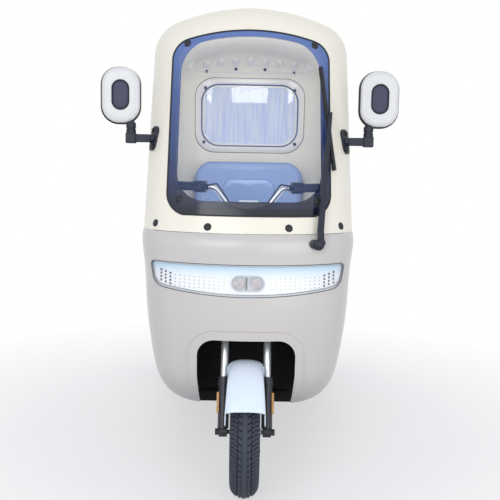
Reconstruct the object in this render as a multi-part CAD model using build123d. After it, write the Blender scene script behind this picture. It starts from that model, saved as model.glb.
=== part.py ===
"""Three-wheeled electric passenger vehicle with a moulded canopy roof.

Frame: millimetres, Z up from the floor, the nose towards -Y, X to the right of someone who
faces the nose. The origin lies on the floor, under the middle of the overall length.
A steered front wheel stands in an arch in the nose panel. A windscreen frame, a ribbed roof and
a rear wall with a window make one canopy over a driver's seat and a rear bench. The sides are open.
"""

from build123d import *
import os
from functools import lru_cache
from math import atan2, cos, degrees, radians, sin, sqrt, tan

os.makedirs("parts", exist_ok=True)

# Wheels
TYRE_R = 216.0
TYRE_HALF_W = 49.0
BEAD_R = 127.0
BEAD_HALF_W = 30.0
RIM_WALL = 7.0
FLANGE_RISE = 10.0
FLANGE_GAP = 0.2
HUB_R = 34.0
HUB_HALF = 30.0
DRUM_R = 62.0
DRUM_W = 26.0
SPOKES = 5
FRONT_AXLE_Y = -810.0
WHEELBASE = 1450.0
REAR_AXLE_Y = FRONT_AXLE_Y + WHEELBASE
REAR_TRACK_HALF = 365.0
OVERALL_HALF_LENGTH = TYRE_R - FRONT_AXLE_Y
SHAFT_GAP = 0.08
FIT = 0.1
FRONT_SHAFT_R = 7.5
REAR_SHAFT_R = 12.0

# Moulded panels
WALL = 5.0
SEAM = 0.6
SEAT_GAP = 0.3
BELT_Z = 891.0
BELT_NOSE_Y = -760.0
HALF_WIDTH = 384.0
SIDE_LEAN = 0.0125
NOSE_R = 600.0
CORNER_R = 190.0
SCREEN_SLOPE = tan(radians(20))
CANOPY_BASE_Z = 800.0
ROOF_Z = 1722.0
CROWN_R = 860.0
ROOF_EDGE_R = 150.0
TAIL_Y = 905.0
TAIL_SLOPE = -0.07
TAIL_CORNER_R = 180.0


def box(x0, x1, y0, y1, z0, z1):
    """A block between two corners."""
    return Pos((x0 + x1) / 2, (y0 + y1) / 2, (z0 + z1) / 2) * Box(x1 - x0, y1 - y0, z1 - z0)


def rod_x(r, x0, x1, y, z):
    """A round bar along X."""
    return Pos((x0 + x1) / 2, y, z) * Rot(0, 90, 0) * Cylinder(r, x1 - x0)


def rod(r, start, end):
    """A round bar between two points."""
    start, end = Vector(*start), Vector(*end)
    return Solid.make_cylinder(r, (end - start).length, Plane(origin=start, z_dir=end - start))


def mirrored(shape):
    """The same shape on the other side of the middle plane."""
    return mirror(shape, about=Plane.YZ)


def save(name, *shapes):
    """Writes one sub-part, of one or more solids."""
    solids = [s for shape in shapes for s in shape.solids()]
    export_step(Compound(solids) if len(solids) > 1 else solids[0], f"parts/{name}.step")


def plan_outline(z, nose, half_w, front_r, corner_r, tail, tail_r):
    """Plan outline at a height: bowed nose, two corners, straight sides and a rounded tail."""
    reach = half_w - corner_r
    drop = sqrt((front_r - corner_r) ** 2 - reach**2)
    centre_y = nose + front_r
    corner_y = centre_y - drop
    share = front_r / (front_r - corner_r)
    tx, ty = reach * share, centre_y - drop * share
    mid = atan2(ty - corner_y, tx - reach) / 2
    mx, my = reach + corner_r * cos(mid), corner_y + corner_r * sin(mid)
    back = tail - tail_r
    bx, by = half_w - tail_r * (1 - cos(radians(45))), back + tail_r * sin(radians(45))
    edges = [
        ThreePointArc((-tx, ty, z), (0, nose, z), (tx, ty, z)),
        ThreePointArc((tx, ty, z), (mx, my, z), (half_w, corner_y, z)),
        Line((half_w, corner_y, z), (half_w, back, z)),
        ThreePointArc((half_w, back, z), (bx, by, z), (half_w - tail_r, tail, z)),
        Line((half_w - tail_r, tail, z), (-(half_w - tail_r), tail, z)),
        ThreePointArc((-(half_w - tail_r), tail, z), (-bx, by, z), (-half_w, back, z)),
        Line((-half_w, back, z), (-half_w, corner_y, z)),
        ThreePointArc((-half_w, corner_y, z), (-mx, my, z), (-tx, ty, z)),
    ]
    return Wire(edges)


def screen_y(z):
    """Where the raked screen face crosses the middle plane."""
    return BELT_NOSE_Y + (z - BELT_Z) * SCREEN_SLOPE


def canopy_half_w(z):
    """Half width of the canopy at a height: its sides lean in a little towards the roof."""
    return HALF_WIDTH - (z - BELT_Z) * SIDE_LEAN


def tail_y(z):
    """Where the rear wall's outside stands at a height."""
    return TAIL_Y + (z - CANOPY_BASE_Z) * TAIL_SLOPE


@lru_cache
def canopy_hull(inset):
    """The canopy's outer form, moved in by inset: raked walls under a crowned roof with a rolled edge."""
    walls = Solid.make_loft(
        [
            plan_outline(
                z, screen_y(z) + inset, canopy_half_w(z) - inset, NOSE_R - inset, CORNER_R - inset,
                tail_y(z) - inset, TAIL_CORNER_R - inset,
            )
            for z in (CANOPY_BASE_Z, ROOF_Z + 80)
        ],
        True,
    )
    crown_z = ROOF_Z - CROWN_R
    crown = Pos(0, 0, crown_z) * Rot(90, 0, 0) * Cylinder(CROWN_R - inset, 3000)
    form = walls & (crown + box(-600, 600, -1500, 1500, CANOPY_BASE_Z - 10, ROOF_Z - 272))
    rim = [e for e in form.edges() if e.center().Z > ROOF_Z - 222 and abs(e.tangent_at(0.5).Z) < 0.5]
    return fillet(rim, ROOF_EDGE_R - inset)


# Nose panel: height, nose, half width, corner radius
NOSE = [
    (278.0, -700.0, 254.0, 120.0),
    (304.0, -722.0, 294.0, 138.0),
    (345.0, -744.0, 320.0, 152.0),
    (420.0, -763.0, 342.0, 166.0),
    (520.0, -775.0, 358.0, 176.0),
    (640.0, -782.0, 370.0, 184.0),
    (770.0, -778.0, 379.0, 189.0),
    (BELT_Z, BELT_NOSE_Y, HALF_WIDTH, CORNER_R),
]
NOSE_TAIL_Y = -300.0


@lru_cache
def nose_hull(inset):
    """The nose below the belt line as a solid."""
    return Solid.make_loft(
        [
            plan_outline(z, y + inset, w - inset, NOSE_R - inset, r - inset, NOSE_TAIL_Y, 20.0)
            for z, y, w, r in NOSE
        ]
    )


def side_cutter(points, radius, half=600.0):
    """A block through both sides, from points (Y, Z) with every corner rounded."""
    face = make_face(Polyline(*points, close=True).edges())
    if radius:
        face = fillet(face.vertices(), radius)
    side = Plane(origin=(-half, 0, 0), x_dir=(0, 1, 0), z_dir=(1, 0, 0))
    return extrude(side * face, 2 * half)


def front_block(face_xz, y0, y1):
    """A block along Y from an outline drawn as (X, Z)."""
    return extrude(Pos(0, y0, 0) * face_xz, y1 - y0, dir=(0, 1, 0))


# Windscreen
SCREEN_HALF_W = 290.0
SCREEN_LOW_Z = 949.0
SCREEN_TOP_Z = 1613.0
SCREEN_TOP_R = 900.0
SCREEN_LOW_CORNER = 75.0
SCREEN_TOP_CORNER = 78.0
GLASS = 4.0
SCREEN_LAND = 26.0


def screen_outline(grow):
    """The screen's outline as seen from the front, grown by some millimetres."""
    half, low, top, r = SCREEN_HALF_W + grow, SCREEN_LOW_Z - grow, SCREEN_TOP_Z + grow, SCREEN_TOP_R
    shoulder = top - r + sqrt(r**2 - half**2)
    edges = [
        Line((-half, 0, low), (half, 0, low)),
        Line((half, 0, low), (half, 0, shoulder)),
        ThreePointArc((half, 0, shoulder), (0, 0, top), (-half, 0, shoulder)),
        Line((-half, 0, shoulder), (-half, 0, low)),
    ]
    face = make_face(edges)
    low_two = [v for v in face.vertices() if v.Z < low + 1]
    top_two = [v for v in face.vertices() if v.Z > low + 1]
    face = fillet(low_two, SCREEN_LOW_CORNER + grow)
    top_two = sorted(face.vertices(), key=lambda v: abs(v.Z - shoulder) + abs(abs(v.X) - half))[:2]
    return fillet(top_two, SCREEN_TOP_CORNER + grow)


# Door openings, as (Y, Z) from the side
DOOR = [(-450.0, 100.0), (-430.0, BELT_Z), (-222.0, 1500.0), (500.0, 1500.0), (560.0, 760.0), (560.0, 100.0)]
DOOR_CORNER = 45.0

# Seams between the canopy's three panels
FRAME_SEAM_Y = -262.0
REAR_SEAM_Y = 450.0
REAR_SEAM_Z = 1600.0

# Roof ribs
RIBS = 7
RIB_PITCH = 78.0
RIB_HALF_W = 14.0
RIB_RISE = 5.0
RIB_FRONT_Y = -250.0
RIB_REAR_Y = 700.0

# Rear window
WINDOW_HALF_W = 262.0
WINDOW_LOW_Z = 1231.0
WINDOW_TOP_Z = 1561.0
WINDOW_CORNER = 95.0
WINDOW_BORDER = 33.0


def rounded_face(half_w, z0, z1, r):
    """A rounded rectangle drawn as (X, Z)."""
    return Plane.XZ * Pos(0, (z0 + z1) / 2) * RectangleRounded(2 * half_w, z1 - z0, r)


# Headlamp strip
LAMP_HALF_W = 343.0
LAMP_TOP_Z = 787.0
LAMP_LOW_Z = 677.0
LAMP_DEPTH = 34.0


def lamp_outline(grow):
    """The lamp strip from the front: straight above, bowed below, round ends."""
    half, top, low = LAMP_HALF_W + grow, LAMP_TOP_Z + grow, LAMP_LOW_Z - grow
    end_z = low + 26.0
    edges = [
        Line((-half, 0, top), (half, 0, top)),
        Line((half, 0, top), (half - 14, 0, end_z)),
        ThreePointArc((half - 14, 0, end_z), (0, 0, low), (-half + 14, 0, end_z)),
        Line((-half + 14, 0, end_z), (-half, 0, top)),
    ]
    face = make_face(edges)
    tops = [v for v in face.vertices() if v.Z > top - 1]
    face = fillet(tops, 14.0 + grow)
    ends = sorted(face.vertices(), key=lambda v: abs(v.Z - end_z))[:2]
    return fillet(ends, 46.0 + grow)


# Wheel arch in the nose
ARCH_TOP_Z = 526.0
ARCH_HALF_W = 171.0
ARCH_FOOT_HALF_W = 151.0
ARCH_CORNER = 62.0
ARCH_FOOT_Z = 150.0
ARCH_KNEE_Z = 390.0
ARCH_LIP = 30.0
ARCH_LIP_RISE = 7.0
LINER_HALF_W = 212.0


def arch_outline(grow):
    """The wheel arch from the front, open at the foot."""
    top, half, foot = ARCH_TOP_Z + grow, ARCH_HALF_W + grow, ARCH_FOOT_HALF_W + grow
    low, knee = ARCH_FOOT_Z, ARCH_KNEE_Z
    points = [(-foot, low), (-half, knee), (-half, top), (half, top), (half, knee), (foot, low)]
    face = make_face(Polyline(*[(x, 0, z) for x, z in points], close=True).edges())
    tops = [v for v in face.vertices() if v.Z > top - 1]
    return fillet(tops, ARCH_CORNER + grow)


outer = canopy_hull(0.0)
canopy = outer - canopy_hull(WALL)
door = side_cutter(DOOR, DOOR_CORNER)
below_belt = box(-600, 600, -900, 200, 700, BELT_Z + SEAM / 2)
canopy = canopy - door - below_belt - front_block(screen_outline(1.0), -900, -250)

# The land behind the glass carries the screen
land = (canopy_hull(WALL) - canopy_hull(WALL + 4)) & (
    front_block(screen_outline(14.0), -900, -250) - front_block(screen_outline(-SCREEN_LAND), -901, -249)
)
frame_block = box(-600, 600, -900, FRAME_SEAM_Y - SEAM / 2, 700, 1900)
rear_block = box(-600, 600, REAR_SEAM_Y + SEAM / 2, 1200, 700, REAR_SEAM_Z - SEAM / 2)
roof_block = box(-600, 600, FRAME_SEAM_Y + SEAM / 2, 1200, 700, 1900) - box(
    -600, 600, REAR_SEAM_Y - SEAM / 2, 1200, 700, REAR_SEAM_Z + SEAM / 2
)
save("windshield_frame", (canopy & frame_block) + land)

rib_band = Pos(0, 0, ROOF_Z - CROWN_R) * Rot(90, 0, 0) * (Cylinder(CROWN_R + RIB_RISE, 3000) - Cylinder(CROWN_R - 2, 3000))
roof = canopy & roof_block
for i in range(RIBS):
    x = (i - RIBS // 2) * RIB_PITCH
    slab = box(x - RIB_HALF_W, x + RIB_HALF_W, RIB_FRONT_Y, RIB_REAR_Y, ROOF_Z - 60, ROOF_Z + 20)
    slab = fillet(slab.edges().filter_by(Axis.Z), RIB_HALF_W - 1)
    roof = roof + (rib_band & slab)
save("roof", roof)

window_face = rounded_face(WINDOW_HALF_W, WINDOW_LOW_Z, WINDOW_TOP_Z, WINDOW_CORNER)
border_face = rounded_face(
    WINDOW_HALF_W + WINDOW_BORDER, WINDOW_LOW_Z - WINDOW_BORDER, WINDOW_TOP_Z + WINDOW_BORDER, WINDOW_CORNER + WINDOW_BORDER
)
hole_face = rounded_face(WINDOW_HALF_W + 0.4, WINDOW_LOW_Z - 0.4, WINDOW_TOP_Z + 0.4, WINDOW_CORNER)
land_face = rounded_face(WINDOW_HALF_W - 12, WINDOW_LOW_Z + 12, WINDOW_TOP_Z - 12, WINDOW_CORNER - 12)
border = (canopy_hull(WALL) - canopy_hull(WALL + 5)) & (front_block(border_face, 700, 1000) - front_block(land_face, 699, 1001))
rear_wall = (canopy & rear_block) - front_block(hole_face, 700, 1000)
save("rear_wall", rear_wall + border)
save("rear_window", (canopy_hull(0.8) - canopy_hull(0.8 + GLASS)) & front_block(window_face, 700, 1000))


def glass_block(inset):
    """The raked screen's surface as a solid, moved in by inset."""
    return Solid.make_loft(
        [
            plan_outline(z, screen_y(z) + inset, canopy_half_w(z) - inset, NOSE_R - inset, CORNER_R - inset, inset, 50)
            for z in (BELT_Z, SCREEN_TOP_Z + 60)
        ],
        True,
    )


save("windshield", (glass_block(0.8) - glass_block(0.8 + GLASS)) & front_block(screen_outline(0.4), -900, -250))

# Nose panel with its wheel arch and lamp opening
nose = nose_hull(0.0)
nose_inside = nose_hull(WALL)
front_shell = nose - nose_inside
lip = (nose_hull(-ARCH_LIP_RISE) - nose_hull(1.0)) & (
    front_block(arch_outline(ARCH_LIP), -900, -560) & box(-600, 600, -900, -400, NOSE[1][0], BELT_Z)
)
front_shell = front_shell + lip
front_shell = front_shell - door - box(-600, 600, -900, 0, BELT_Z - SEAM / 2, BELT_Z + 50)
front_shell = front_shell - front_block(arch_outline(0.0), -900, -560)
front_shell = front_shell - front_block(lamp_outline(0.6), -900, -560)
save("headlamp_lens", (nose_hull(0.6) - nose_hull(5.0)) & front_block(lamp_outline(0.0), -900, -560))
tray = (nose_hull(WALL + SEAT_GAP) - nose_hull(WALL + LAMP_DEPTH)) & front_block(lamp_outline(10.0), -900, -500)
tray = tray - ((nose_hull(0.0) - nose_hull(WALL + LAMP_DEPTH - 4)) & front_block(lamp_outline(-5.0), -901, -499))
save("headlamp_housing", tray)

# Steering geometry: along the fork (u), behind it (v)
RAKE = radians(25)
FORK_OFFSET = 35.0
LEG_X = 75.0
LEG_R = 19.0
LEG_TOP_U = 186.0
TUBE_R = 13.5
CROWN_U = 432.0
CROWN_T = 24.0
STEM_R = 17.0
HEAD_LOW_U = 505.0
HEAD_TOP_U = 640.0
CLAMP_U = 842.0


def on_fork(x, v, u):
    """A point at x across, v behind the wheel's axle and u up along the fork."""
    return (x, FRONT_AXLE_Y + v * cos(RAKE) + u * sin(RAKE), TYRE_R - v * sin(RAKE) + u * cos(RAKE))


fork_plane = Plane(origin=on_fork(0, FORK_OFFSET, 0), x_dir=(1, 0, 0), z_dir=(0, sin(RAKE), cos(RAKE)))


def fork_box(x0, x1, v0, v1, u0, u1):
    """A block in the fork's own directions, with v from the steering axis."""
    return fork_plane * box(x0, x1, v0, v1, u0, u1)


def fork_rod(r, x, v, u0, u1):
    """A round bar along the fork."""
    return rod(r, on_fork(x, v, u0), on_fork(x, v, u1))


axle = (0, FRONT_AXLE_Y, TYRE_R)
legs = []
for side in (-1, 1):
    leg = fork_rod(LEG_R, side * LEG_X, 0, 12, LEG_TOP_U) + fork_rod(LEG_R + 3, side * LEG_X, 0, LEG_TOP_U - 26, LEG_TOP_U)
    leg = leg + rod_x(17, side * LEG_X - 14, side * LEG_X + 14, FRONT_AXLE_Y, TYRE_R)
    leg = leg + fork_rod(LEG_R - 4, side * LEG_X, 0, -2, 14)
    legs.append(leg - rod_x(FRONT_SHAFT_R + FIT, side * LEG_X - 20, side * LEG_X + 20, FRONT_AXLE_Y, TYRE_R))
save("fork_lower_legs", *legs)

crown = fork_box(-LEG_X - 20, LEG_X + 20, -FORK_OFFSET - 18, 22, CROWN_U, CROWN_U + CROWN_T)
fork_top = crown + fork_rod(STEM_R, 0, FORK_OFFSET, CROWN_U, CLAMP_U)
for side in (-1, 1):
    fork_top = fork_top + fork_rod(TUBE_R, side * LEG_X, 0, LEG_TOP_U + SEAT_GAP, CROWN_U + CROWN_T + 6)
save("fork_tubes", fork_top)

AXLE_HALF = 93.0
front_axle = rod_x(FRONT_SHAFT_R, -AXLE_HALF, AXLE_HALF, FRONT_AXLE_Y, TYRE_R)
for side in (-1, 1):
    nut = Pos(side * (LEG_X + 21), FRONT_AXLE_Y, TYRE_R) * Rot(0, 90, 0) * extrude(RegularPolygon(12, 6), 6, both=True)
    front_axle = front_axle + nut
save("front_axle", front_axle)


def tyre_solid(x):
    """A tyre about the wheel's axis with its middle at x, drawn as width against radius."""
    bead_top = BEAD_R + FLANGE_RISE
    shoulder = BEAD_R + 64
    outline = [
        Line((-BEAD_HALF_W, bead_top, 0), (-BEAD_HALF_W, BEAD_R, 0)),
        Line((-BEAD_HALF_W, BEAD_R, 0), (BEAD_HALF_W, BEAD_R, 0)),
        Line((BEAD_HALF_W, BEAD_R, 0), (BEAD_HALF_W, bead_top, 0)),
        ThreePointArc((BEAD_HALF_W, bead_top, 0), (TYRE_HALF_W, BEAD_R + 42, 0), (TYRE_HALF_W - 5, shoulder, 0)),
        ThreePointArc((TYRE_HALF_W - 5, shoulder, 0), (0, TYRE_R, 0), (-TYRE_HALF_W + 5, shoulder, 0)),
        ThreePointArc((-TYRE_HALF_W + 5, shoulder, 0), (-TYRE_HALF_W, BEAD_R + 42, 0), (-BEAD_HALF_W, bead_top, 0)),
    ]
    return Pos(x, 0, 0) * revolve(make_face(outline), Axis.X)


def wheel_solid(x, shaft_r, drum_side):
    """A cast wheel: rim barrel, spokes, hub and brake drum, bored for its shaft."""
    seat = BEAD_HALF_W + FLANGE_GAP
    flange = seat + RIM_WALL - 2
    lip_r = BEAD_R + FLANGE_RISE
    well_r = BEAD_R - 16
    rim_points = [
        (-flange, lip_r), (-seat, lip_r), (-seat, BEAD_R - FLANGE_GAP), (seat, BEAD_R - FLANGE_GAP), (seat, lip_r),
        (flange, lip_r), (flange, BEAD_R - RIM_WALL), (seat - 10, BEAD_R - RIM_WALL - 2), (seat - 16, well_r),
        (16 - seat, well_r), (10 - seat, BEAD_R - RIM_WALL - 2), (-flange, BEAD_R - RIM_WALL),
    ]
    rim = revolve(make_face(Polyline(*[(a, r, 0) for a, r in rim_points], close=True).edges()), Axis.X)
    wheel = rim + rod_x(HUB_R, -HUB_HALF, HUB_HALF, 0, 0)
    wheel = wheel + rod_x(DRUM_R, min(0, drum_side * DRUM_W), max(0, drum_side * DRUM_W), 0, 0)
    spoke = loft([
        Plane.XY.offset(HUB_R - 8) * RectangleRounded(30, 40, 8),
        Plane.XY.offset(well_r + 2) * RectangleRounded(24, 28, 6),
    ])
    for i in range(SPOKES):
        wheel = wheel + Rot(360 / SPOKES * i, 0, 0) * spoke
    return Pos(x, 0, 0) * (wheel - rod_x(shaft_r + SHAFT_GAP, -60, 60, 0, 0))


to_front = Pos(0, FRONT_AXLE_Y, TYRE_R)
save("tyre_front", to_front * tyre_solid(0))
save("wheel_front", to_front * wheel_solid(0, FRONT_SHAFT_R, 1))

# Drum brake plate with its lever, on the right
PLATE_X = 31.0
plate = to_front * (rod_x(DRUM_R - 2, PLATE_X, PLATE_X + 6, 0, 0) + rod_x(12, PLATE_X + 5, LEG_X - LEG_R - 0.5, 0, 0))
plate = plate - to_front * rod_x(FRONT_SHAFT_R + FIT, 0, 100, 0, 0)
lever = box(PLATE_X + 6, PLATE_X + 12, FRONT_AXLE_Y + 28, FRONT_AXLE_Y + 44, TYRE_R - 88, TYRE_R - 20)
boss = rod_x(9, PLATE_X + 5, PLATE_X + 20, FRONT_AXLE_Y + 36, TYRE_R - 34)
clevis = rod_x(7, PLATE_X + 4, PLATE_X + 24, FRONT_AXLE_Y + 36, TYRE_R - 82)
save("brake_plate", plate + lever + boss + clevis)

# Front fender: an arched hood over the tyre, flared at its front edge
FENDER_R = 240.0
FENDER_T = 3.5
FENDER_HALF_W = 60.5
FENDER_DROP = 46.0
FENDER_FRONT = 30.0
FENDER_REAR = 148.0
hood_outline = [
    Line((-FENDER_HALF_W, FENDER_R - FENDER_DROP, 0), (-FENDER_HALF_W + 2, FENDER_R - 26, 0)),
    ThreePointArc((-FENDER_HALF_W + 2, FENDER_R - 26, 0), (-FENDER_HALF_W + 17, FENDER_R - 5.5, 0), (-FENDER_HALF_W + 34, FENDER_R - 1.0, 0)),
    ThreePointArc((-FENDER_HALF_W + 34, FENDER_R - 1.0, 0), (0, FENDER_R, 0), (FENDER_HALF_W - 34, FENDER_R - 1.0, 0)),
    ThreePointArc((FENDER_HALF_W - 34, FENDER_R - 1.0, 0), (FENDER_HALF_W - 17, FENDER_R - 5.5, 0), (FENDER_HALF_W - 2, FENDER_R - 26, 0)),
    Line((FENDER_HALF_W - 2, FENDER_R - 26, 0), (FENDER_HALF_W, FENDER_R - FENDER_DROP, 0)),
    Line((FENDER_HALF_W, FENDER_R - FENDER_DROP, 0), (-FENDER_HALF_W, FENDER_R - FENDER_DROP, 0)),
]
hood_face = make_face(hood_outline)
inside_face = make_face([
    Line((-FENDER_HALF_W + FENDER_T, FENDER_R - FENDER_DROP - 5, 0), (-FENDER_HALF_W + FENDER_T + 2, FENDER_R - 28, 0)),
    ThreePointArc(
        (-FENDER_HALF_W + FENDER_T + 2, FENDER_R - 28, 0), (-FENDER_HALF_W + 20, FENDER_R - 10, 0), (-FENDER_HALF_W + 36, FENDER_R - 5, 0)
    ),
    ThreePointArc((-FENDER_HALF_W + 36, FENDER_R - 5, 0), (0, FENDER_R - 4, 0), (FENDER_HALF_W - 36, FENDER_R - 5, 0)),
    ThreePointArc(
        (FENDER_HALF_W - 36, FENDER_R - 5, 0), (FENDER_HALF_W - 20, FENDER_R - 10, 0), (FENDER_HALF_W - FENDER_T - 2, FENDER_R - 28, 0)
    ),
    Line((FENDER_HALF_W - FENDER_T - 2, FENDER_R - 28, 0), (FENDER_HALF_W - FENDER_T, FENDER_R - FENDER_DROP - 5, 0)),
    Line((FENDER_HALF_W - FENDER_T, FENDER_R - FENDER_DROP - 5, 0), (-FENDER_HALF_W + FENDER_T, FENDER_R - FENDER_DROP - 5, 0)),
])
sweep_deg = FENDER_REAR - FENDER_FRONT
hood = revolve(hood_face, Axis.X, sweep_deg) - revolve(inside_face, Axis.X, sweep_deg)
# The outline starts at the top (Y = R); turn it so that the arc runs from front to rear
fender = to_front * Rot(180 - FENDER_REAR, 0, 0) * hood
TAB_U = 192.0
for side in (-1, 1):
    x0, x1 = sorted((side * (FENDER_HALF_W - 4), side * (LEG_X - TUBE_R - 0.2)))
    fender = fender + fork_box(x0, x1, -FORK_OFFSET - 9, -FORK_OFFSET + 9, TAB_U, TAB_U + 26)
save("front_fender", fender)

# Amber reflectors outside the legs
reflectors = []
for side in (-1, 1):
    x0, x1 = sorted((side * (LEG_X + LEG_R - 3), side * (LEG_X + LEG_R + 5)))
    reflectors.append(fork_box(x0, x1, -FORK_OFFSET - 15, -FORK_OFFSET + 15, 62, 132))
save("fork_reflectors", *[r - legs[i] for i, r in enumerate(reflectors)])

# Handlebar and its controls, drawn upright and turned with the fork
CLAMP_Y, CLAMP_Z = on_fork(0, FORK_OFFSET, CLAMP_U)[1:]
BAR_R = 11.0
BAR_END_X = 312.0
GRIP_X = 206.0
GRIP_R = 16.0
POD_X = 180.0
bar_points = [
    (34.0, CLAMP_Y, CLAMP_Z + 2),
    (78.0, CLAMP_Y, CLAMP_Z + 8),
    (128.0, CLAMP_Y + 4, CLAMP_Z + 74),
    (BAR_END_X, CLAMP_Y + 44, CLAMP_Z + 80),
]
half_path = FilletPolyline(*bar_points, radius=26)
start_plane = Plane(origin=bar_points[0], z_dir=half_path % 0)
half_bar = sweep(start_plane * Circle(BAR_R), half_path)
clamp = fork_box(-36, 36, -20, 20, CLAMP_U - 14, CLAMP_U + 20) + rod_x(BAR_R, -36, 36, CLAMP_Y, CLAMP_Z + 2)
stem_hole = fork_rod(STEM_R, 0, FORK_OFFSET, CLAMP_U - 40, CLAMP_U + SEAT_GAP)
handlebar = clamp + half_bar + mirrored(half_bar) - stem_hole
guide = fork_box(-34, 34, -30, -20, CLAMP_U - 62, CLAMP_U - 44) + fork_box(-12, 12, -30, -19, CLAMP_U - 62, CLAMP_U)
save("handlebar", handlebar + guide)

grip_dir = (Vector(*bar_points[3]) - Vector(*bar_points[2])).normalized()


def on_bar(x):
    """A point on the straight outer stretch of the right half of the bar."""
    a = Vector(*bar_points[2])
    return a + grip_dir * ((x - a.X) / grip_dir.X)


def bar_sleeve(r, x0, x1):
    """A sleeve on the right grip stretch, fitted on the bar."""
    return rod(r, tuple(on_bar(x0)), tuple(on_bar(x1))) - rod(BAR_R + FIT, tuple(on_bar(x0 - 5)), tuple(on_bar(x1 + 5)))


grip = bar_sleeve(GRIP_R, GRIP_X, BAR_END_X + 4) + bar_sleeve(GRIP_R + 4, GRIP_X, GRIP_X + 5)
save("grips", grip, mirrored(grip))

pod_plane = Plane(origin=on_bar(POD_X + 4), x_dir=(0, 0, 1), z_dir=grip_dir)
pod = extrude(pod_plane * RectangleRounded(44, 40, 12), 19, both=True)
pod = pod - rod(BAR_R + FIT, tuple(on_bar(POD_X - 40)), tuple(on_bar(POD_X + 60)))
lever_points = [
    tuple(on_bar(POD_X) + Vector(0, -16, -4)),
    tuple(on_bar(POD_X + 6) + Vector(0, -52, -6)),
    tuple(on_bar(POD_X + 120) + Vector(0, -44, -10)),
]
lever_path = FilletPolyline(*lever_points, radius=16)
lever_start = Plane(origin=lever_points[0], z_dir=lever_path % 0)
hand_lever = sweep(lever_start * Ellipse(5, 8), lever_path) + Pos(*lever_points[2]) * Sphere(9)
perch = pod + hand_lever
save("brake_levers", perch, mirrored(perch))

CABLE_R = 3.0
guide_top = on_fork(24, FORK_OFFSET - 25, CLAMP_U - 44 + SEAT_GAP)
cable_start = on_bar(POD_X - 15.3) + Vector(0, -14, 6)
cable_points = [
    tuple(cable_start),
    tuple(cable_start + Vector(-44, -16, 8)),
    (62.0, CLAMP_Y - 60, CLAMP_Z + 6),
    on_fork(24, FORK_OFFSET - 25, CLAMP_U - 18),
    guide_top,
]
cable_path = FilletPolyline(*cable_points, radius=11)
cable = sweep(Plane(origin=cable_points[0], z_dir=cable_path % 0) * Circle(CABLE_R), cable_path)
save("brake_cables", cable, mirrored(cable))

# Wheel-arch liner: a box with a raised dome over the crown, round hole for the head tube
LINER_T = 4.0
LINER_REAR_Y = -500.0
LINER_TOP_Z = 620.0
DOME_HALF_W = 150.0
DOME_FRONT_Y = -712.0
DOME_TOP_Z = 690.0
HEAD_R = 30.0
liner = box(-LINER_HALF_W, LINER_HALF_W, -900, LINER_REAR_Y, 240, LINER_TOP_Z)
liner = liner + box(-DOME_HALF_W, DOME_HALF_W, DOME_FRONT_Y, LINER_REAR_Y, LINER_TOP_Z - 1, DOME_TOP_Z)
liner_t = LINER_T
hollow = box(-LINER_HALF_W + liner_t, LINER_HALF_W - liner_t, -901, LINER_REAR_Y - liner_t, 200, LINER_TOP_Z - liner_t)
hollow = hollow + box(
    -DOME_HALF_W + liner_t, DOME_HALF_W - liner_t, DOME_FRONT_Y + liner_t, LINER_REAR_Y - liner_t, 500, DOME_TOP_Z - liner_t
)
liner = (liner - hollow) & nose_hull(WALL + SEAT_GAP)
head_space = fork_rod(HEAD_R + SEAT_GAP, 0, FORK_OFFSET, HEAD_LOW_U - 60, HEAD_TOP_U)
save("wheel_arch_liner", liner - head_space)

# Chassis: two rails kicked up over the rear axle, cross members, down tube and head tube
RAIL_X = 200.0
RAIL_HALF_W = 25.0
RAIL_LOW_Z = 255.0
RAIL_H = 30.0
RAIL_FRONT_Y = -470.0
KICK_Y = 472.0
KICK_RUN = 55.0
KICK_RISE = 105.0
RAIL_REAR_Y = 950.0
rail_low = RAIL_LOW_Z + KICK_RISE
rail_face = make_face(
    Polyline(
        (0, RAIL_FRONT_Y, RAIL_LOW_Z), (0, KICK_Y, RAIL_LOW_Z), (0, KICK_Y + KICK_RUN, rail_low), (0, RAIL_REAR_Y, rail_low),
        (0, RAIL_REAR_Y, rail_low + RAIL_H), (0, KICK_Y + KICK_RUN - 16, rail_low + RAIL_H), (0, KICK_Y - 16, RAIL_LOW_Z + RAIL_H),
        (0, RAIL_FRONT_Y, RAIL_LOW_Z + RAIL_H), close=True,
    ).edges()
)
rail = extrude(Pos(RAIL_X - RAIL_HALF_W, 0, 0) * rail_face, 2 * RAIL_HALF_W, dir=(1, 0, 0))
chassis = rail + mirrored(rail)
MEMBERS = [(-485, 0), (-180, 0), (120, 0), (400, 0), (530, KICK_RISE), (905, KICK_RISE)]
for y, rise in MEMBERS:
    chassis = chassis + box(-RAIL_X, RAIL_X, y, y + 40, RAIL_LOW_Z + rise, RAIL_LOW_Z + rise + RAIL_H)
DOWN_TUBE_Y = LINER_REAR_Y + SEAT_GAP
DOWN_TUBE_D = 36.0
GUSSET_LOW_Z = 698.0
GUSSET_TOP_Z = 745.0
chassis = chassis + box(-25, 25, DOWN_TUBE_Y, DOWN_TUBE_Y + DOWN_TUBE_D, RAIL_LOW_Z, GUSSET_TOP_Z)
head_y, head_z = on_fork(0, FORK_OFFSET, (HEAD_LOW_U + HEAD_TOP_U) / 2)[1:]
chassis = chassis + box(-18, 18, head_y, DOWN_TUBE_Y + DOWN_TUBE_D, GUSSET_LOW_Z, GUSSET_TOP_Z)
chassis = chassis + fork_rod(HEAD_R, 0, FORK_OFFSET, HEAD_LOW_U, HEAD_TOP_U)
chassis = chassis - fork_rod(STEM_R + SHAFT_GAP, 0, FORK_OFFSET, HEAD_LOW_U - 40, HEAD_TOP_U + 40)
save("chassis_frame", chassis)

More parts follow.
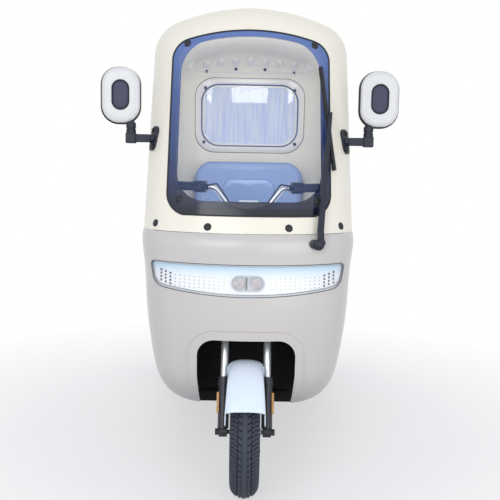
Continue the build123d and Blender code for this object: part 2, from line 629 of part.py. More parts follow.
# Dash: a shelf behind the screen, a face down to the floor and a small instrument hood
DASH_Z = 876.0
DASH_REAR_Y = -455.0
DASH_T = 4.0
FLOOR_LOW_Z = RAIL_LOW_Z + RAIL_H + SEAT_GAP
FLOOR_T = 6.0
FLOOR_Z = FLOOR_LOW_Z + FLOOR_T
dash = box(-400, 400, -900, DASH_REAR_Y, DASH_Z - DASH_T, DASH_Z)
dash = dash + box(-400, 400, DASH_REAR_Y - DASH_T, DASH_REAR_Y, FLOOR_Z + SEAT_GAP, DASH_Z)
dash = dash & nose_hull(WALL + SEAT_GAP)
column_y = on_fork(0, FORK_OFFSET, 0)[1] + (DASH_Z - on_fork(0, FORK_OFFSET, 0)[2]) * tan(RAKE)
dash = dash - box(-46, 46, column_y - 40, column_y + 36, DASH_Z - 60, DASH_Z + 60)
pod_face = Plane.YZ * Polyline((-640, DASH_Z - 1), (-560, DASH_Z - 1), (-560, DASH_Z + 30), (-600, DASH_Z + 44), (-640, DASH_Z + 30), close=True)
dash = dash + Pos(-85, 0, 0) * extrude(make_face(pod_face.edges()), 170, dir=(1, 0, 0))
save("dash_panel", dash)

# Floor pan: tapered plan with turned-down sills
FLOOR_FRONT_HALF_W = 296.0
FLOOR_HALF_W = 345.0
FLOOR_REAR_Y = 446.0
FLOOR_FRONT_Y = DOWN_TUBE_Y + DOWN_TUBE_D + SEAT_GAP
FLOOR_TONGUE_HALF_W = 240.0
SILL_H = 42.0
WELL_R = 246.0
WELL_X = 295.0
well_front_y = REAR_AXLE_Y - WELL_R - 10
floor_plan = [(FLOOR_FRONT_HALF_W, -440), (FLOOR_HALF_W, 0), (FLOOR_HALF_W, well_front_y)]


def floor_outline(inset):
    """Plan of the floor pan, moved in by inset at its sides."""
    right = [(x - inset, y) for x, y in floor_plan]
    back = [(WELL_X - 5 - inset, well_front_y), (WELL_X - 5 - inset, FLOOR_REAR_Y)]
    front = [(FLOOR_TONGUE_HALF_W - inset, FLOOR_FRONT_Y), (FLOOR_TONGUE_HALF_W - inset, -440)]
    points = front + right + back
    return make_face(Polyline(*(points + [(-x, y) for x, y in reversed(points)]), close=True).edges())


floor = Pos(0, 0, FLOOR_LOW_Z - SILL_H) * extrude(floor_outline(0), SILL_H + FLOOR_T)
floor = floor - Pos(0, 0, FLOOR_LOW_Z - SILL_H - 1) * extrude(floor_outline(4), SILL_H + 1)
floor = floor - box(-FLOOR_HALF_W, FLOOR_HALF_W, -480, -430, 200, FLOOR_LOW_Z) - box(-290, 290, 380, 450, 200, FLOOR_LOW_Z)
save("floor_pan", floor)

# Driver seat box with hinge ears and rod, the battery inside it
BOX_HALF_W = 160.0
BOX_FRONT_Y = -70.0
BOX_REAR_Y = 260.0
BOX_TOP_Z = 570.0
BOX_T = 5.0
HINGE_Y = -80.0
HINGE_Z = 577.0
HINGE_R = 6.0
EAR_X = 120.0
EAR_W = 10.0
seat_box = box(-BOX_HALF_W, BOX_HALF_W, BOX_FRONT_Y, BOX_REAR_Y, FLOOR_Z + SEAT_GAP, BOX_TOP_Z)
seat_box = seat_box - box(
    -BOX_HALF_W + BOX_T, BOX_HALF_W - BOX_T, BOX_FRONT_Y + BOX_T, BOX_REAR_Y - BOX_T, FLOOR_Z - 1, BOX_TOP_Z + 1
)
for side in (-1, 1):
    x0, x1 = sorted((side * EAR_X, side * (EAR_X + EAR_W)))
    seat_box = seat_box + box(x0, x1, HINGE_Y - 9, BOX_FRONT_Y + 1, HINGE_Z - 30, HINGE_Z) + rod_x(9, x0, x1, HINGE_Y, HINGE_Z)
seat_box = seat_box + rod_x(HINGE_R, -EAR_X - EAR_W - 4, EAR_X + EAR_W + 4, HINGE_Y, HINGE_Z)
save("driver_seat_box", seat_box)
save("battery_pack", box(-120, 120, -40, 220, FLOOR_Z + SEAT_GAP, 520))

# Driver seat: hinged pan with back bars, cushion and backrest
PAN_LOW_Z = BOX_TOP_Z + 0.4
PAN_T = 8.0
SEAT_HALF_W = 165.0
CUSHION_TOP_Z = 665.0
BACKREST_HALF_W = 140.0
BACKREST_TOP_Z = 1080.0
BACKREST_REAR_Y = 262.0
pan = box(-BOX_HALF_W, BOX_HALF_W, BOX_FRONT_Y + 6, BOX_REAR_Y, PAN_LOW_Z, PAN_LOW_Z + PAN_T)
for side in (-1, 1):
    x0, x1 = sorted((side * (EAR_X - 18), side * (EAR_X - 1)))
    pan = pan + rod_x(9, x0, x1, HINGE_Y, HINGE_Z) + box(x0, x1, HINGE_Y, BOX_FRONT_Y + 10, PAN_LOW_Z + 1, PAN_LOW_Z + PAN_T)
    x0, x1 = sorted((side * 70, side * 98))
    pan = pan + box(x0, x1, BACKREST_REAR_Y, BACKREST_REAR_Y + 6, PAN_LOW_Z, 900) + box(x0, x1, 200, BACKREST_REAR_Y + 6, PAN_LOW_Z, PAN_LOW_Z + PAN_T)
pan = pan - rod_x(HINGE_R + SHAFT_GAP, -200, 200, HINGE_Y, HINGE_Z)
save("driver_seat_base", pan)
cushion = box(-SEAT_HALF_W, SEAT_HALF_W, BOX_FRONT_Y + 4, BACKREST_REAR_Y - 60, PAN_LOW_Z + PAN_T + SEAT_GAP, CUSHION_TOP_Z)
cushion = fillet(cushion.edges().filter_by(Axis.Z), 40)
cushion = fillet(cushion.faces().sort_by(Axis.Z)[-1].edges(), 14)
save("driver_seat_cushion", cushion)
back_face = Plane.XZ * Pos(0, (BACKREST_TOP_Z + 640) / 2) * RectangleRounded(2 * BACKREST_HALF_W, BACKREST_TOP_Z - 640, 60)
backrest = extrude(Pos(0, BACKREST_REAR_Y - 58, 0) * back_face, 58 - SEAT_GAP, dir=(0, 1, 0))
backrest = fillet(backrest.faces().sort_by(Axis.Y)[0].edges(), 14)
save("driver_backrest", backrest)

# Rear body: height, half width, tail
REAR = [
    (300.0, 408.0, 965.0),
    (430.0, 425.0, 988.0),
    (600.0, 425.0, 985.0),
    (740.0, 410.0, 960.0),
    (CANOPY_BASE_Z - SEAT_GAP, 388.0, 920.0),
]
REAR_FRONT_Y = 400.0
ARCH_R = 246.0


@lru_cache
def rear_hull(inset):
    """The rear body's lofted outer form, moved in by inset."""
    return Solid.make_loft([
        plan_outline(z, 100 + inset, w - inset, 2000, 60 - min(inset, 40), t - inset, TAIL_CORNER_R - inset) for z, w, t in REAR
    ])


front_cut = side_cutter([(-100, 100), (REAR_FRONT_Y, 100), (REAR_FRONT_Y, 560), (562, 815), (562, 900), (-100, 900)], 0)
arch_cut = rod_x(ARCH_R, -600, 600, REAR_AXLE_Y, TYRE_R)
rear_body = rear_hull(0.0) - rear_hull(WALL) - front_cut - arch_cut
ledge = (rear_hull(1.0) - rear_hull(28.0)) & box(-600, 600, REAR_FRONT_Y, 1200, 790, 800)
rear_body = rear_body + (ledge - front_cut)
BUMPER_ARM_Z = 375.0
for side in (-1, 1):
    x0, x1 = sorted((side * (RAIL_X - 17), side * (RAIL_X + 17)))
    rear_body = rear_body - box(x0, x1, 900, 1100, BUMPER_ARM_Z - 14, BUMPER_ARM_Z + 14)
save("rear_body", rear_body)

inside_rear = rear_hull(WALL + SEAT_GAP)
BENCH_Y = 440.0
BENCH_Z = 600.0
bench = box(-500, 500, BENCH_Y, BENCH_Y + 5, FLOOR_Z + SEAT_GAP, BENCH_Z) + box(-500, 500, BENCH_Y, 1200, BENCH_Z - 5, BENCH_Z)
deck_z = rail_low + RAIL_H + SEAT_GAP
bench = bench + box(-WELL_X + SEAT_GAP, WELL_X - SEAT_GAP, BENCH_Y, 940, deck_z, deck_z + 6)
bench = bench & inside_rear
bench = bench - rod_x(WELL_R + 4.3, WELL_X - 0.3, 600, REAR_AXLE_Y, TYRE_R) - rod_x(WELL_R + 4.3, -600, -WELL_X + 0.3, REAR_AXLE_Y, TYRE_R)
save("rear_bench", bench)

well = rod_x(WELL_R + 4, WELL_X, 600, REAR_AXLE_Y, TYRE_R) - rod_x(WELL_R, WELL_X + 4, 601, REAR_AXLE_Y, TYRE_R)
well = (well & inside_rear) - box(0, 600, 0, 1200, 0, 303)
save("rear_wheel_wells", well, mirrored(well))

rear_cushion = box(-308, 308, BENCH_Y + 14, 766, BENCH_Z + SEAT_GAP, 688)
rear_cushion = fillet(rear_cushion.edges().filter_by(Axis.Z), 40)
rear_cushion = fillet(rear_cushion.faces().sort_by(Axis.Z)[-1].edges(), 18)
save("rear_seat_cushion", rear_cushion)
REAR_BACK_TOP_Z = 1160.0
rear_back_face = Plane.XZ * Pos(0, (REAR_BACK_TOP_Z + BENCH_Z + SEAT_GAP) / 2) * RectangleRounded(
    616, REAR_BACK_TOP_Z - BENCH_Z - SEAT_GAP, 85
)
rear_back = extrude(Pos(0, 768, 0) * rear_back_face, 60, dir=(0, 1, 0))
rear_back = fillet(rear_back.faces().sort_by(Axis.Y)[0].edges(), 18)
save("rear_backrest", rear_back)

# Rear axle, motor and springs
TUBE_AXLE_R = 25.0
DIFF_R = 85.0
PAD_T = 6.0
STUB_X = REAR_TRACK_HALF + 50
axle_tube = rod_x(TUBE_AXLE_R, -REAR_TRACK_HALF + 34, REAR_TRACK_HALF - 34, REAR_AXLE_Y, TYRE_R)
axle_tube = axle_tube + rod_x(REAR_SHAFT_R, -STUB_X, STUB_X, REAR_AXLE_Y, TYRE_R) + rod_x(DIFF_R, -45, 45, REAR_AXLE_Y, TYRE_R)
axle_tube = axle_tube + Pos(0, REAR_AXLE_Y + DIFF_R, TYRE_R) * Rot(90, 0, 0) * Cylinder(60, 40)
for side in (-1, 1):
    axle_tube = axle_tube + rod_x(20, side * (REAR_TRACK_HALF + 38) - 6, side * (REAR_TRACK_HALF + 38) + 6, REAR_AXLE_Y, TYRE_R)
    axle_tube = axle_tube + box(side * RAIL_X - 30, side * RAIL_X + 30, REAR_AXLE_Y - 30, REAR_AXLE_Y + 30, TYRE_R - TUBE_AXLE_R - PAD_T, TYRE_R)
save("drive_axle", axle_tube)
MOTOR_Y = REAR_AXLE_Y + DIFF_R + 20 + SEAT_GAP
save("drive_motor", Pos(0, MOTOR_Y + 85, TYRE_R) * Rot(90, 0, 0) * Cylinder(74, 170))

SPRING_T = 16.0
SPRING_HALF_W = 22.0
SPRING_CLAMP = 36.0
SPRING_SAG = 8.0
EYE_R = 14.0
SPRING_TOP_Z = TYRE_R - TUBE_AXLE_R - PAD_T - SEAT_GAP
# Eyes: place along the length, height, underside of the rail above
EYES = [(446.0, 236.0, RAIL_LOW_Z), (850.0, 300.0, rail_low)]
springs = []
for side in (-1, 1):
    x0, x1 = side * RAIL_X - SPRING_HALF_W, side * RAIL_X + SPRING_HALF_W
    (front_y, front_z, _), (rear_y, rear_z, _) = EYES
    sides = []
    for lift in (-SPRING_T, 0):
        top = SPRING_TOP_Z + lift
        at_front, at_rear = (front_y, front_z + SPRING_T / 2 + lift), (rear_y, rear_z + SPRING_T / 2 + lift)
        clamp_front, clamp_rear = REAR_AXLE_Y - SPRING_CLAMP, REAR_AXLE_Y + SPRING_CLAMP
        arcs = []
        for start, end in ((at_front, (clamp_front, top)), ((clamp_rear, top), at_rear)):
            middle = (0, (start[0] + end[0]) / 2, (start[1] + end[1]) / 2 - SPRING_SAG)
            arcs.append(ThreePointArc((0, *start), middle, (0, *end)))
        sides.append([arcs[0], Line((0, clamp_front, top), (0, clamp_rear, top)), arcs[1]])
    (low_a, _, low_b), (high_a, _, high_b) = sides
    ends = [Line(low_a @ 0, high_a @ 0), Line(low_b @ 1, high_b @ 1)]
    leaf_face = make_face(sides[0] + sides[1] + ends)
    leaf = extrude(Pos(x0, 0, 0) * leaf_face, x1 - x0, dir=(1, 0, 0))
    for y, z, under in EYES:
        leaf = leaf + rod_x(EYE_R, x0, x1, y, z) + box(x0, x1, y - 8, y + 8, z, under - SEAT_GAP)
    springs.append(leaf)
save("leaf_springs", *springs)

for name, side in (("left", -1), ("right", 1)):
    at_rear = Pos(side * REAR_TRACK_HALF, REAR_AXLE_Y, TYRE_R)
    save(f"tyre_rear_{name}", at_rear * tyre_solid(0))
    save(f"wheel_rear_{name}", at_rear * wheel_solid(0, REAR_SHAFT_R, -side))

# Tail lamps, bumper and plate bracket
lamp_face = Plane.XZ * Pos(335, 660) * RectangleRounded(86, 120, 20)
tail_lamp = (rear_hull(-8.0) - rear_hull(-SEAT_GAP)) & extrude(Pos(0, 800, 0) * lamp_face, 300, dir=(0, 1, 0))
save("tail_lamps", tail_lamp, mirrored(tail_lamp))
BUMPER_T = 26.0
bumper_y = OVERALL_HALF_LENGTH
bumper = box(-340, 340, bumper_y - BUMPER_T, bumper_y, BUMPER_ARM_Z - 35, BUMPER_ARM_Z + 35)
bumper = fillet(bumper.edges().filter_by(Axis.Z), 12)
bumper = fillet(bumper.edges().filter_by(Axis.X), 8)
bumper = bumper - box(-330, 330, bumper_y - BUMPER_T - 1, bumper_y - 5, BUMPER_ARM_Z - 30, BUMPER_ARM_Z + 30)
for side in (-1, 1):
    bumper = bumper + box(side * RAIL_X - 15, side * RAIL_X + 15, RAIL_REAR_Y + SEAT_GAP, bumper_y - 4, BUMPER_ARM_Z - 12, BUMPER_ARM_Z + 12)
PLATE_Z = 470.0
bracket = box(-110, 110, bumper_y - 12, bumper_y - 9, BUMPER_ARM_Z + 20, PLATE_Z + 45)
for x in (-65, 65):
    bracket = bracket - Pos(x, bumper_y - 10, PLATE_Z) * Rot(90, 0, 0) * Cylinder(3.5, 20)
save("rear_bumper", bumper + bracket)

# Mirrors on the screen pillars
MIRROR_X = 470.0
MIRROR_Y = -520.0
MIRROR_Z = 1370.0
MIRROR_W = 148.0
MIRROR_H = 208.0
MIRROR_ARM_R = 14.0
MIRROR_ARM_IN = 36.0
INSET_W = 66.0
INSET_H = 110.0
INSET_DEPTH = 3.0
PAD_Z = 1216.0
PAD_ANGLE = radians(33)
pad_reach = canopy_half_w(PAD_Z) - CORNER_R
pad_corner_y = screen_y(PAD_Z) + NOSE_R - sqrt((NOSE_R - CORNER_R) ** 2 - pad_reach**2)
pad_x = pad_reach + CORNER_R * cos(PAD_ANGLE)
pad_y = pad_corner_y - CORNER_R * sin(PAD_ANGLE)
pad_plane = Plane(origin=(pad_x, pad_y, PAD_Z), x_dir=(sin(PAD_ANGLE), cos(PAD_ANGLE), 0), z_dir=(cos(PAD_ANGLE), -sin(PAD_ANGLE), 0))
pad_block = extrude(pad_plane * RectangleRounded(46, 90, 22), 40, both=True)
pad = (canopy_hull(-8.0) - canopy_hull(-SEAT_GAP)) & pad_block
arm_points = [
    (pad_x - 6, pad_y + 4, PAD_Z),
    (MIRROR_X - MIRROR_ARM_IN, MIRROR_Y, PAD_Z),
    (MIRROR_X - MIRROR_ARM_IN, MIRROR_Y, MIRROR_Z - MIRROR_H / 2 + 9),
]
arm_path = FilletPolyline(*arm_points, radius=MIRROR_ARM_R + 2)
arm = sweep(Plane(origin=arm_points[0], z_dir=arm_path % 0) * Circle(MIRROR_ARM_R), arm_path)
arm = arm + Pos(*arm_points[1]) * Sphere(MIRROR_ARM_R + 3) - canopy_hull(-SEAT_GAP)
arm = arm.solids().sort_by(SortBy.VOLUME)[-1]
SHELL_D = 34.0
head_face = Plane.XZ * Pos(MIRROR_X, MIRROR_Z) * RectangleRounded(MIRROR_W, MIRROR_H, 66)
head = extrude(Pos(0, MIRROR_Y - SHELL_D / 2, 0) * head_face, SHELL_D, dir=(0, 1, 0))
head = fillet(head.faces().sort_by(Axis.Y)[0].edges(), 16)
cup_face = Plane.XZ * Pos(MIRROR_X, MIRROR_Z) * RectangleRounded(MIRROR_W - 8, MIRROR_H - 8, 62)
cup = extrude(Pos(0, MIRROR_Y - SHELL_D / 2 + 14, 0) * cup_face, SHELL_D, dir=(0, 1, 0))
glass_face = Plane.XZ * Pos(MIRROR_X, MIRROR_Z) * RectangleRounded(MIRROR_W - 9, MIRROR_H - 9, 61.5)
mirror_glass = extrude(Pos(0, MIRROR_Y + SHELL_D / 2 - 5, 0) * glass_face, 3, dir=(0, 1, 0))
inset_face = Plane.XZ * Pos(MIRROR_X, MIRROR_Z) * RectangleRounded(INSET_W, INSET_H, INSET_W / 2 - 1)
inset = extrude(Pos(0, MIRROR_Y - SHELL_D / 2 - 1, 0) * inset_face, INSET_DEPTH + 1, dir=(0, 1, 0))
mirror_shell = head - cup - inset
arm = (pad + arm) - mirror_shell
arm = arm.solids().sort_by(SortBy.VOLUME)[-1]
save("mirror_arms", arm, mirrored(arm))
save("mirror_shells", mirror_shell, mirrored(mirror_shell))
save("mirror_glasses", mirror_glass, mirrored(mirror_glass))

# Wiper: spindle on the nose, arm and blade over the screen
WIPER_X = 241.0
WIPER_Z = 858.0
wiper_bow = NOSE_R - sqrt(NOSE_R**2 - WIPER_X**2)
wiper_turn = atan2(WIPER_X, sqrt(NOSE_R**2 - WIPER_X**2))
screen_tilt = radians(20)
wiper_origin = Vector(WIPER_X, screen_y(WIPER_Z) + wiper_bow, WIPER_Z)
screen_up = Vector(0, sin(screen_tilt), cos(screen_tilt))
across = Vector(cos(wiper_turn), sin(wiper_turn), 0)
wiper_normal = screen_up.cross(across).normalized()
wiper_plane = Plane(origin=wiper_origin, x_dir=across, z_dir=-wiper_normal if wiper_normal.Y > 0 else wiper_normal)
spindle = wiper_plane * (Pos(0, 0, -4) * Cylinder(11, 36) + Pos(0, 0, 24) * Cylinder(6, 24))
spindle_hole = wiper_plane * (Pos(0, 0, -4) * Cylinder(11 + SEAT_GAP, 80))
save("wiper_spindle", spindle)
save("front_shell", front_shell - spindle_hole)
ARM_LIFT = 22.0
ARM_T = 6.0
HUB_WIPER_R = 15.0
# Front view places of the arm's tip and the blade's ends, as (X, Z)
ARM_TIP = (279.0, 1310.0)
BLADE_LOW = (296.0, 1107.0)
BLADE_TOP = (248.0, 1479.0)
BLADE_W = 10.0
BLADE_D = 14.0


def on_wiper(x, z):
    """Place in the wiper's plane of the point seen from the front at X, Z."""
    e1, e2 = wiper_plane.x_dir, wiper_plane.y_dir
    dx, dz = x - wiper_origin.X, z - wiper_origin.Z
    det = e1.X * e2.Z - e2.X * e1.Z
    return (dx * e2.Z - dz * e2.X) / det, (e1.X * dz - e1.Z * dx) / det


tip, low_end, top_end = on_wiper(*ARM_TIP), on_wiper(*BLADE_LOW), on_wiper(*BLADE_TOP)
arm_side = 1 if tip[1] > 0 else -1
hub = Pos(0, 0, ARM_LIFT) * Cylinder(HUB_WIPER_R, 2 * ARM_T)
arm_outline = [
    (-11, 0), (-9, 40 * arm_side), (tip[0] - 7, tip[1]), (tip[0] + 7, tip[1]), (15, 40 * arm_side), (11, 0),
]
arm_bar = extrude(Pos(0, 0, ARM_LIFT) * make_face(Polyline(*arm_outline, close=True).edges()), ARM_T)
wiper_arm = wiper_plane * (hub + arm_bar - Pos(0, 0, ARM_LIFT) * Cylinder(6 + SHAFT_GAP, 60))
save("wiper_arm", wiper_arm)
blade_x, blade_y = (low_end[0] + top_end[0]) / 2, (low_end[1] + top_end[1]) / 2
blade_dx, blade_dy = top_end[0] - low_end[0], top_end[1] - low_end[1]
blade_turn = Rot(0, 0, -degrees(atan2(blade_dx, blade_dy)))
blade = Pos(blade_x, blade_y, ARM_LIFT - BLADE_D / 2 - 0.3) * blade_turn * Box(BLADE_W, sqrt(blade_dx**2 + blade_dy**2), BLADE_D)
save("wiper_blade", wiper_plane * blade)
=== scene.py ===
"""Looks of a three-wheeled electric passenger vehicle with a moulded canopy.

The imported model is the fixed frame: metres, Z up, the nose towards -Y, +X to the right of someone who
faces the nose. Pieces are made here in millimetres and turned to metres in one place, mesh_object().
"""

from math import atan2, cos, exp, hypot, pi, radians, sin, sqrt, tan

import bmesh
import bpy
from mathutils import Matrix, Vector
from mathutils.bvhtree import BVHTree


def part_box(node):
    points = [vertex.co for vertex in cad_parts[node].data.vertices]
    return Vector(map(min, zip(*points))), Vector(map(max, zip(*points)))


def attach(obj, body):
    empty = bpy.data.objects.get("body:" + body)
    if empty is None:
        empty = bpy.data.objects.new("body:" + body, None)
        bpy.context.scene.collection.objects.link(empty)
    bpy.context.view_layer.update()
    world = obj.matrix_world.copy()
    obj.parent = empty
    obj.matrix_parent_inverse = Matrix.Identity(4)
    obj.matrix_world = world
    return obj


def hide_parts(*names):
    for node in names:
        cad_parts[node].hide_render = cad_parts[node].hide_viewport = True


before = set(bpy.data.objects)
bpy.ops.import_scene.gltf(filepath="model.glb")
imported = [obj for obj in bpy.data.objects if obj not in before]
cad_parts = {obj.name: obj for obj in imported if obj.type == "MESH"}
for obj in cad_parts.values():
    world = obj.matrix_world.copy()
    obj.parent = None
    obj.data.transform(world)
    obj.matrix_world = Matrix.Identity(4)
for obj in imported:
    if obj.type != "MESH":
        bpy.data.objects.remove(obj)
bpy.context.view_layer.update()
MM = 0.001

# Camera: the photograph's viewpoint, in mm, and its lens for a 36 mm wide sensor
CAMERA_AT = (-4.0, -3235.0, 1120.0)
CAMERA_PITCH = 6.5
CAMERA_YAW = -0.26
CAMERA_ROLL = 1.0
CAMERA_LENS = 52.8

# Sizes shared with the solids, in mm
SCREEN_HALF_W = 290.0
SCREEN_LOW_Z = 949.0
SCREEN_TOP_Z = 1613.0
SCREEN_TOP_R = 900.0
SCREEN_LOW_CORNER = 75.0
SCREEN_TOP_CORNER = 78.0
LAMP_HALF_W = 343.0
LAMP_TOP_Z = 787.0
LAMP_LOW_Z = 677.0
LAMP_MID_Z = (LAMP_TOP_Z + LAMP_LOW_Z) / 2
WINDOW_HALF_W = 262.0
WINDOW_LOW_Z = 1231.0
WINDOW_TOP_Z = 1561.0
WINDOW_CORNER = 95.0
TYRE_R = 216.0
TYRE_HALF_W = 49.0
BEAD_R = 127.0
BEAD_HALF_W = 30.0
FLANGE_RISE = 10.0
AXLES = {"front": (0.0, -810.0), "rear_left": (-365.0, 640.0), "rear_right": (365.0, 640.0)}
MIRROR_X = 470.0
MIRROR_Z = 1370.0


def faces_of(*nodes):
    """The faces of some CAD nodes, ready for rays, in metres."""
    points, faces = [], []
    for node in nodes:
        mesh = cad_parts[node].data
        start = len(points)
        points.extend(v.co.copy() for v in mesh.vertices)
        faces.extend([start + i for i in face.vertices] for face in mesh.polygons)
    return BVHTree.FromPolygons(points, faces)


def surface(*nodes):
    """Finds the first face of some CAD nodes that a line towards the rear meets."""
    tree = faces_of(*nodes)

    def at(x, z, from_y=-2000.0):
        hit = tree.ray_cast(Vector((x, from_y, z)) * MM, Vector((0, 1, 0)))[0]
        return hit / MM if hit else None

    return at


def side_surface(*nodes):
    """Finds the first face of some CAD nodes that a line from one side towards the middle meets."""
    tree = faces_of(*nodes)

    def at(side, y, z):
        hit = tree.ray_cast(Vector((side * 900, y, z)) * MM, Vector((-side, 0, 0)))[0]
        return hit / MM if hit else None

    return at


def surface_frame(point_at, x, z, step=4.0):
    """Place and forward-facing turn for a small piece that sits on a surface."""
    here = point_at(x, z)
    side = (point_at(x + step, z) - point_at(x - step, z)).normalized()
    up = (point_at(x, z + step) - point_at(x, z - step)).normalized()
    out = up.cross(side).normalized()
    if out.y > 0:
        out = -out
    up = out.cross(side).normalized()
    return Matrix.Translation(here) @ Matrix((side, up, out)).transposed().to_4x4()


# Meshes


def placed(name, data):
    """A new object in the scene."""
    item = bpy.data.objects.new(name, data)
    bpy.context.scene.collection.objects.link(item)
    return item


def mesh_object(name, points, faces):
    """An object in metres from points in mm, with its faces turned outwards."""
    mesh = bpy.data.meshes.new(name)
    mesh.from_pydata([Vector(p) * MM for p in points], [], faces)
    mesh.validate()
    form = bmesh.new()
    form.from_mesh(mesh)
    bmesh.ops.recalc_face_normals(form, faces=form.faces)
    form.to_mesh(mesh)
    form.free()
    return placed(name, mesh)


def mesh_piece(name, points, faces, body, material, smooth=True, replaces=(), slot=None):
    """Makes a mesh in mm into a piece in metres that rides on a body."""
    piece = mesh_object(name, points, faces)
    if smooth:
        piece.data.shade_smooth()
    piece.data.materials.append(material)
    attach(piece, body)
    if replaces:
        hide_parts(*replaces)
    return piece


def grid_faces(rows, columns, wrap_rows=False, wrap_columns=False):
    """Quads between rows of points, closed round either way where asked."""
    faces = []
    for i in range(rows if wrap_rows else rows - 1):
        here, there = i * columns, (i + 1) % rows * columns
        for j in range(columns if wrap_columns else columns - 1):
            m = (j + 1) % columns
            faces.append((here + j, here + m, there + m, there + j))
    return faces


def turned(profile, place, segments=24):
    """A lathed form from (radius, height) pairs about the local Z of place, as points and faces."""
    points = []
    for r, h in profile:
        for k in range(segments):
            a = 2 * pi * k / segments
            points.append(place @ Vector((r * cos(a), r * sin(a), h)))
    faces = grid_faces(len(profile), segments, wrap_columns=True)
    faces.append(tuple(range(segments)))
    faces.append(tuple(reversed(range(len(points) - segments, len(points)))))
    return points, faces


def joined(forms):
    """Several (points, faces) forms as one."""
    points, faces = [], []
    for more_points, more_faces in forms:
        start = len(points)
        points.extend(more_points)
        faces.extend(tuple(start + i for i in face) for face in more_faces)
    return points, faces


def tube(route, radius, segments=12, closed=False):
    """A round tube along a list of points, as points and faces."""
    points = []
    count = len(route)
    side = None
    for i, at in enumerate(route):
        before = route[i - 1] if (i or closed) else route[i]
        after = route[(i + 1) % count] if (i < count - 1 or closed) else route[i]
        along = (Vector(after) - Vector(before)).normalized()
        if side is None:
            side = along.orthogonal().normalized()
        side = (side - along * side.dot(along)).normalized()
        other = along.cross(side)
        for k in range(segments):
            a = 2 * pi * k / segments
            points.append(Vector(at) + (side * cos(a) + other * sin(a)) * radius)
    faces = grid_faces(count, segments, wrap_rows=closed, wrap_columns=True)
    if not closed:
        faces.append(tuple(range(segments)))
        faces.append(tuple(reversed(range(len(points) - segments, len(points)))))
    return points, faces


def corner_arc(before, corner, after, r, steps=8):
    """The round of radius r that cuts a corner, as points in the plane."""
    here = Vector(corner)
    back = (Vector(before) - here).normalized()
    on = (Vector(after) - here).normalized()
    half = back.angle(on) / 2
    middle = here + (back + on).normalized() * (r / sin(half))
    first = here + back * (r / tan(half))
    last = here + on * (r / tan(half))
    a0 = atan2(first.y - middle.y, first.x - middle.x)
    a1 = atan2(last.y - middle.y, last.x - middle.x)
    turn = (a1 - a0 + pi) % (2 * pi) - pi
    turns = [a0 + turn * k / steps for k in range(steps + 1)]
    return [(middle.x + r * cos(a), middle.y + r * sin(a)) for a in turns]


def rounded_outline(corners, steps=8):
    """A closed outline through (x, z, radius) corners, with each corner an arc."""
    outline = []
    for i, (x, z, r) in enumerate(corners):
        outline.extend(corner_arc(corners[i - 1][:2], (x, z), corners[(i + 1) % len(corners)][:2], r, steps))
    return outline


def oblong(half_w, half_h, r, steps=8, middle=(0.0, 0.0)):
    """A rounded rectangle about its middle."""
    x, z = middle
    signs = [(-1, -1), (1, -1), (1, 1), (-1, 1)]
    return rounded_outline([(x + i * half_w, z + k * half_h, r) for i, k in signs], steps)


def shrunk(half_w, half_h, r, rows, steps=12, sign=1):
    """Rounded outlines from (shrink, height) rows, each smaller all round by shrink."""
    return [(oblong(half_w - d, half_h - d, r - d, steps), sign * h) for d, h in rows]


def blocky(rows):
    """Rounded outlines from (half width, half height, corner radius, height) rows."""
    return [(oblong(w, d, r, 4), h) for w, d, r, h in rows]


def banked(outlines, place, cap_start=False, cap_end=True):
    """A form through outlines of equal length, each (points in the plane, height), put at place."""
    points = [place @ Vector((x, y, h)) for outline, h in outlines for x, y in outline]
    count = len(outlines[0][0])
    faces = grid_faces(len(outlines), count, wrap_columns=True)
    if cap_start:
        faces.append(tuple(range(count)))
    if cap_end:
        faces.append(tuple(range(len(points) - count, len(points))))
    return points, faces


def even(outline, step):
    """The same outline with points about step apart."""
    spread = []
    for i, (x, z) in enumerate(outline):
        nx, nz = outline[(i + 1) % len(outline)]
        parts = max(1, round(hypot(nx - x, nz - z) / step))
        spread.extend((x + (nx - x) * k / parts, z + (nz - z) * k / parts) for k in range(parts))
    return spread


# Materials


def linear(code):
    """A hex sRGB colour as linear red, green, blue and alpha."""
    parts = [int(code[i : i + 2], 16) / 255 for i in (1, 3, 5)]
    return [c / 12.92 if c <= 0.04045 else ((c + 0.055) / 1.055) ** 2.4 for c in parts] + [1.0]


def add(tree, kind, sockets=(), **settings):
    """Adds a node with its settings; sockets maps an input to a value or to another node's output."""
    node = tree.nodes.new(kind)
    for name, value in settings.items():
        setattr(node, name, value)
    for name, value in dict(sockets).items():
        if isinstance(value, bpy.types.NodeSocket):
            tree.links.new(value, node.inputs[name])
        else:
            node.inputs[name].default_value = value
    return node


def new_material(name, sockets):
    """An empty material with a surface shader; returns the material, its tree and the shader."""
    material = bpy.data.materials.new(name)
    material.use_nodes = True
    tree = material.node_tree
    tree.nodes.clear()
    shader = add(tree, "ShaderNodeBsdfPrincipled", sockets)
    add(tree, "ShaderNodeOutputMaterial", {"Surface": shader.outputs["BSDF"]})
    return material, tree, shader


# Heights in metres between which the painted shade along the low edge fades out, and how much of the colour it takes at
# the bottom
SHADE_LOW, SHADE_TOP, SHADE_SHARE = 0.2, 0.4, 0.7


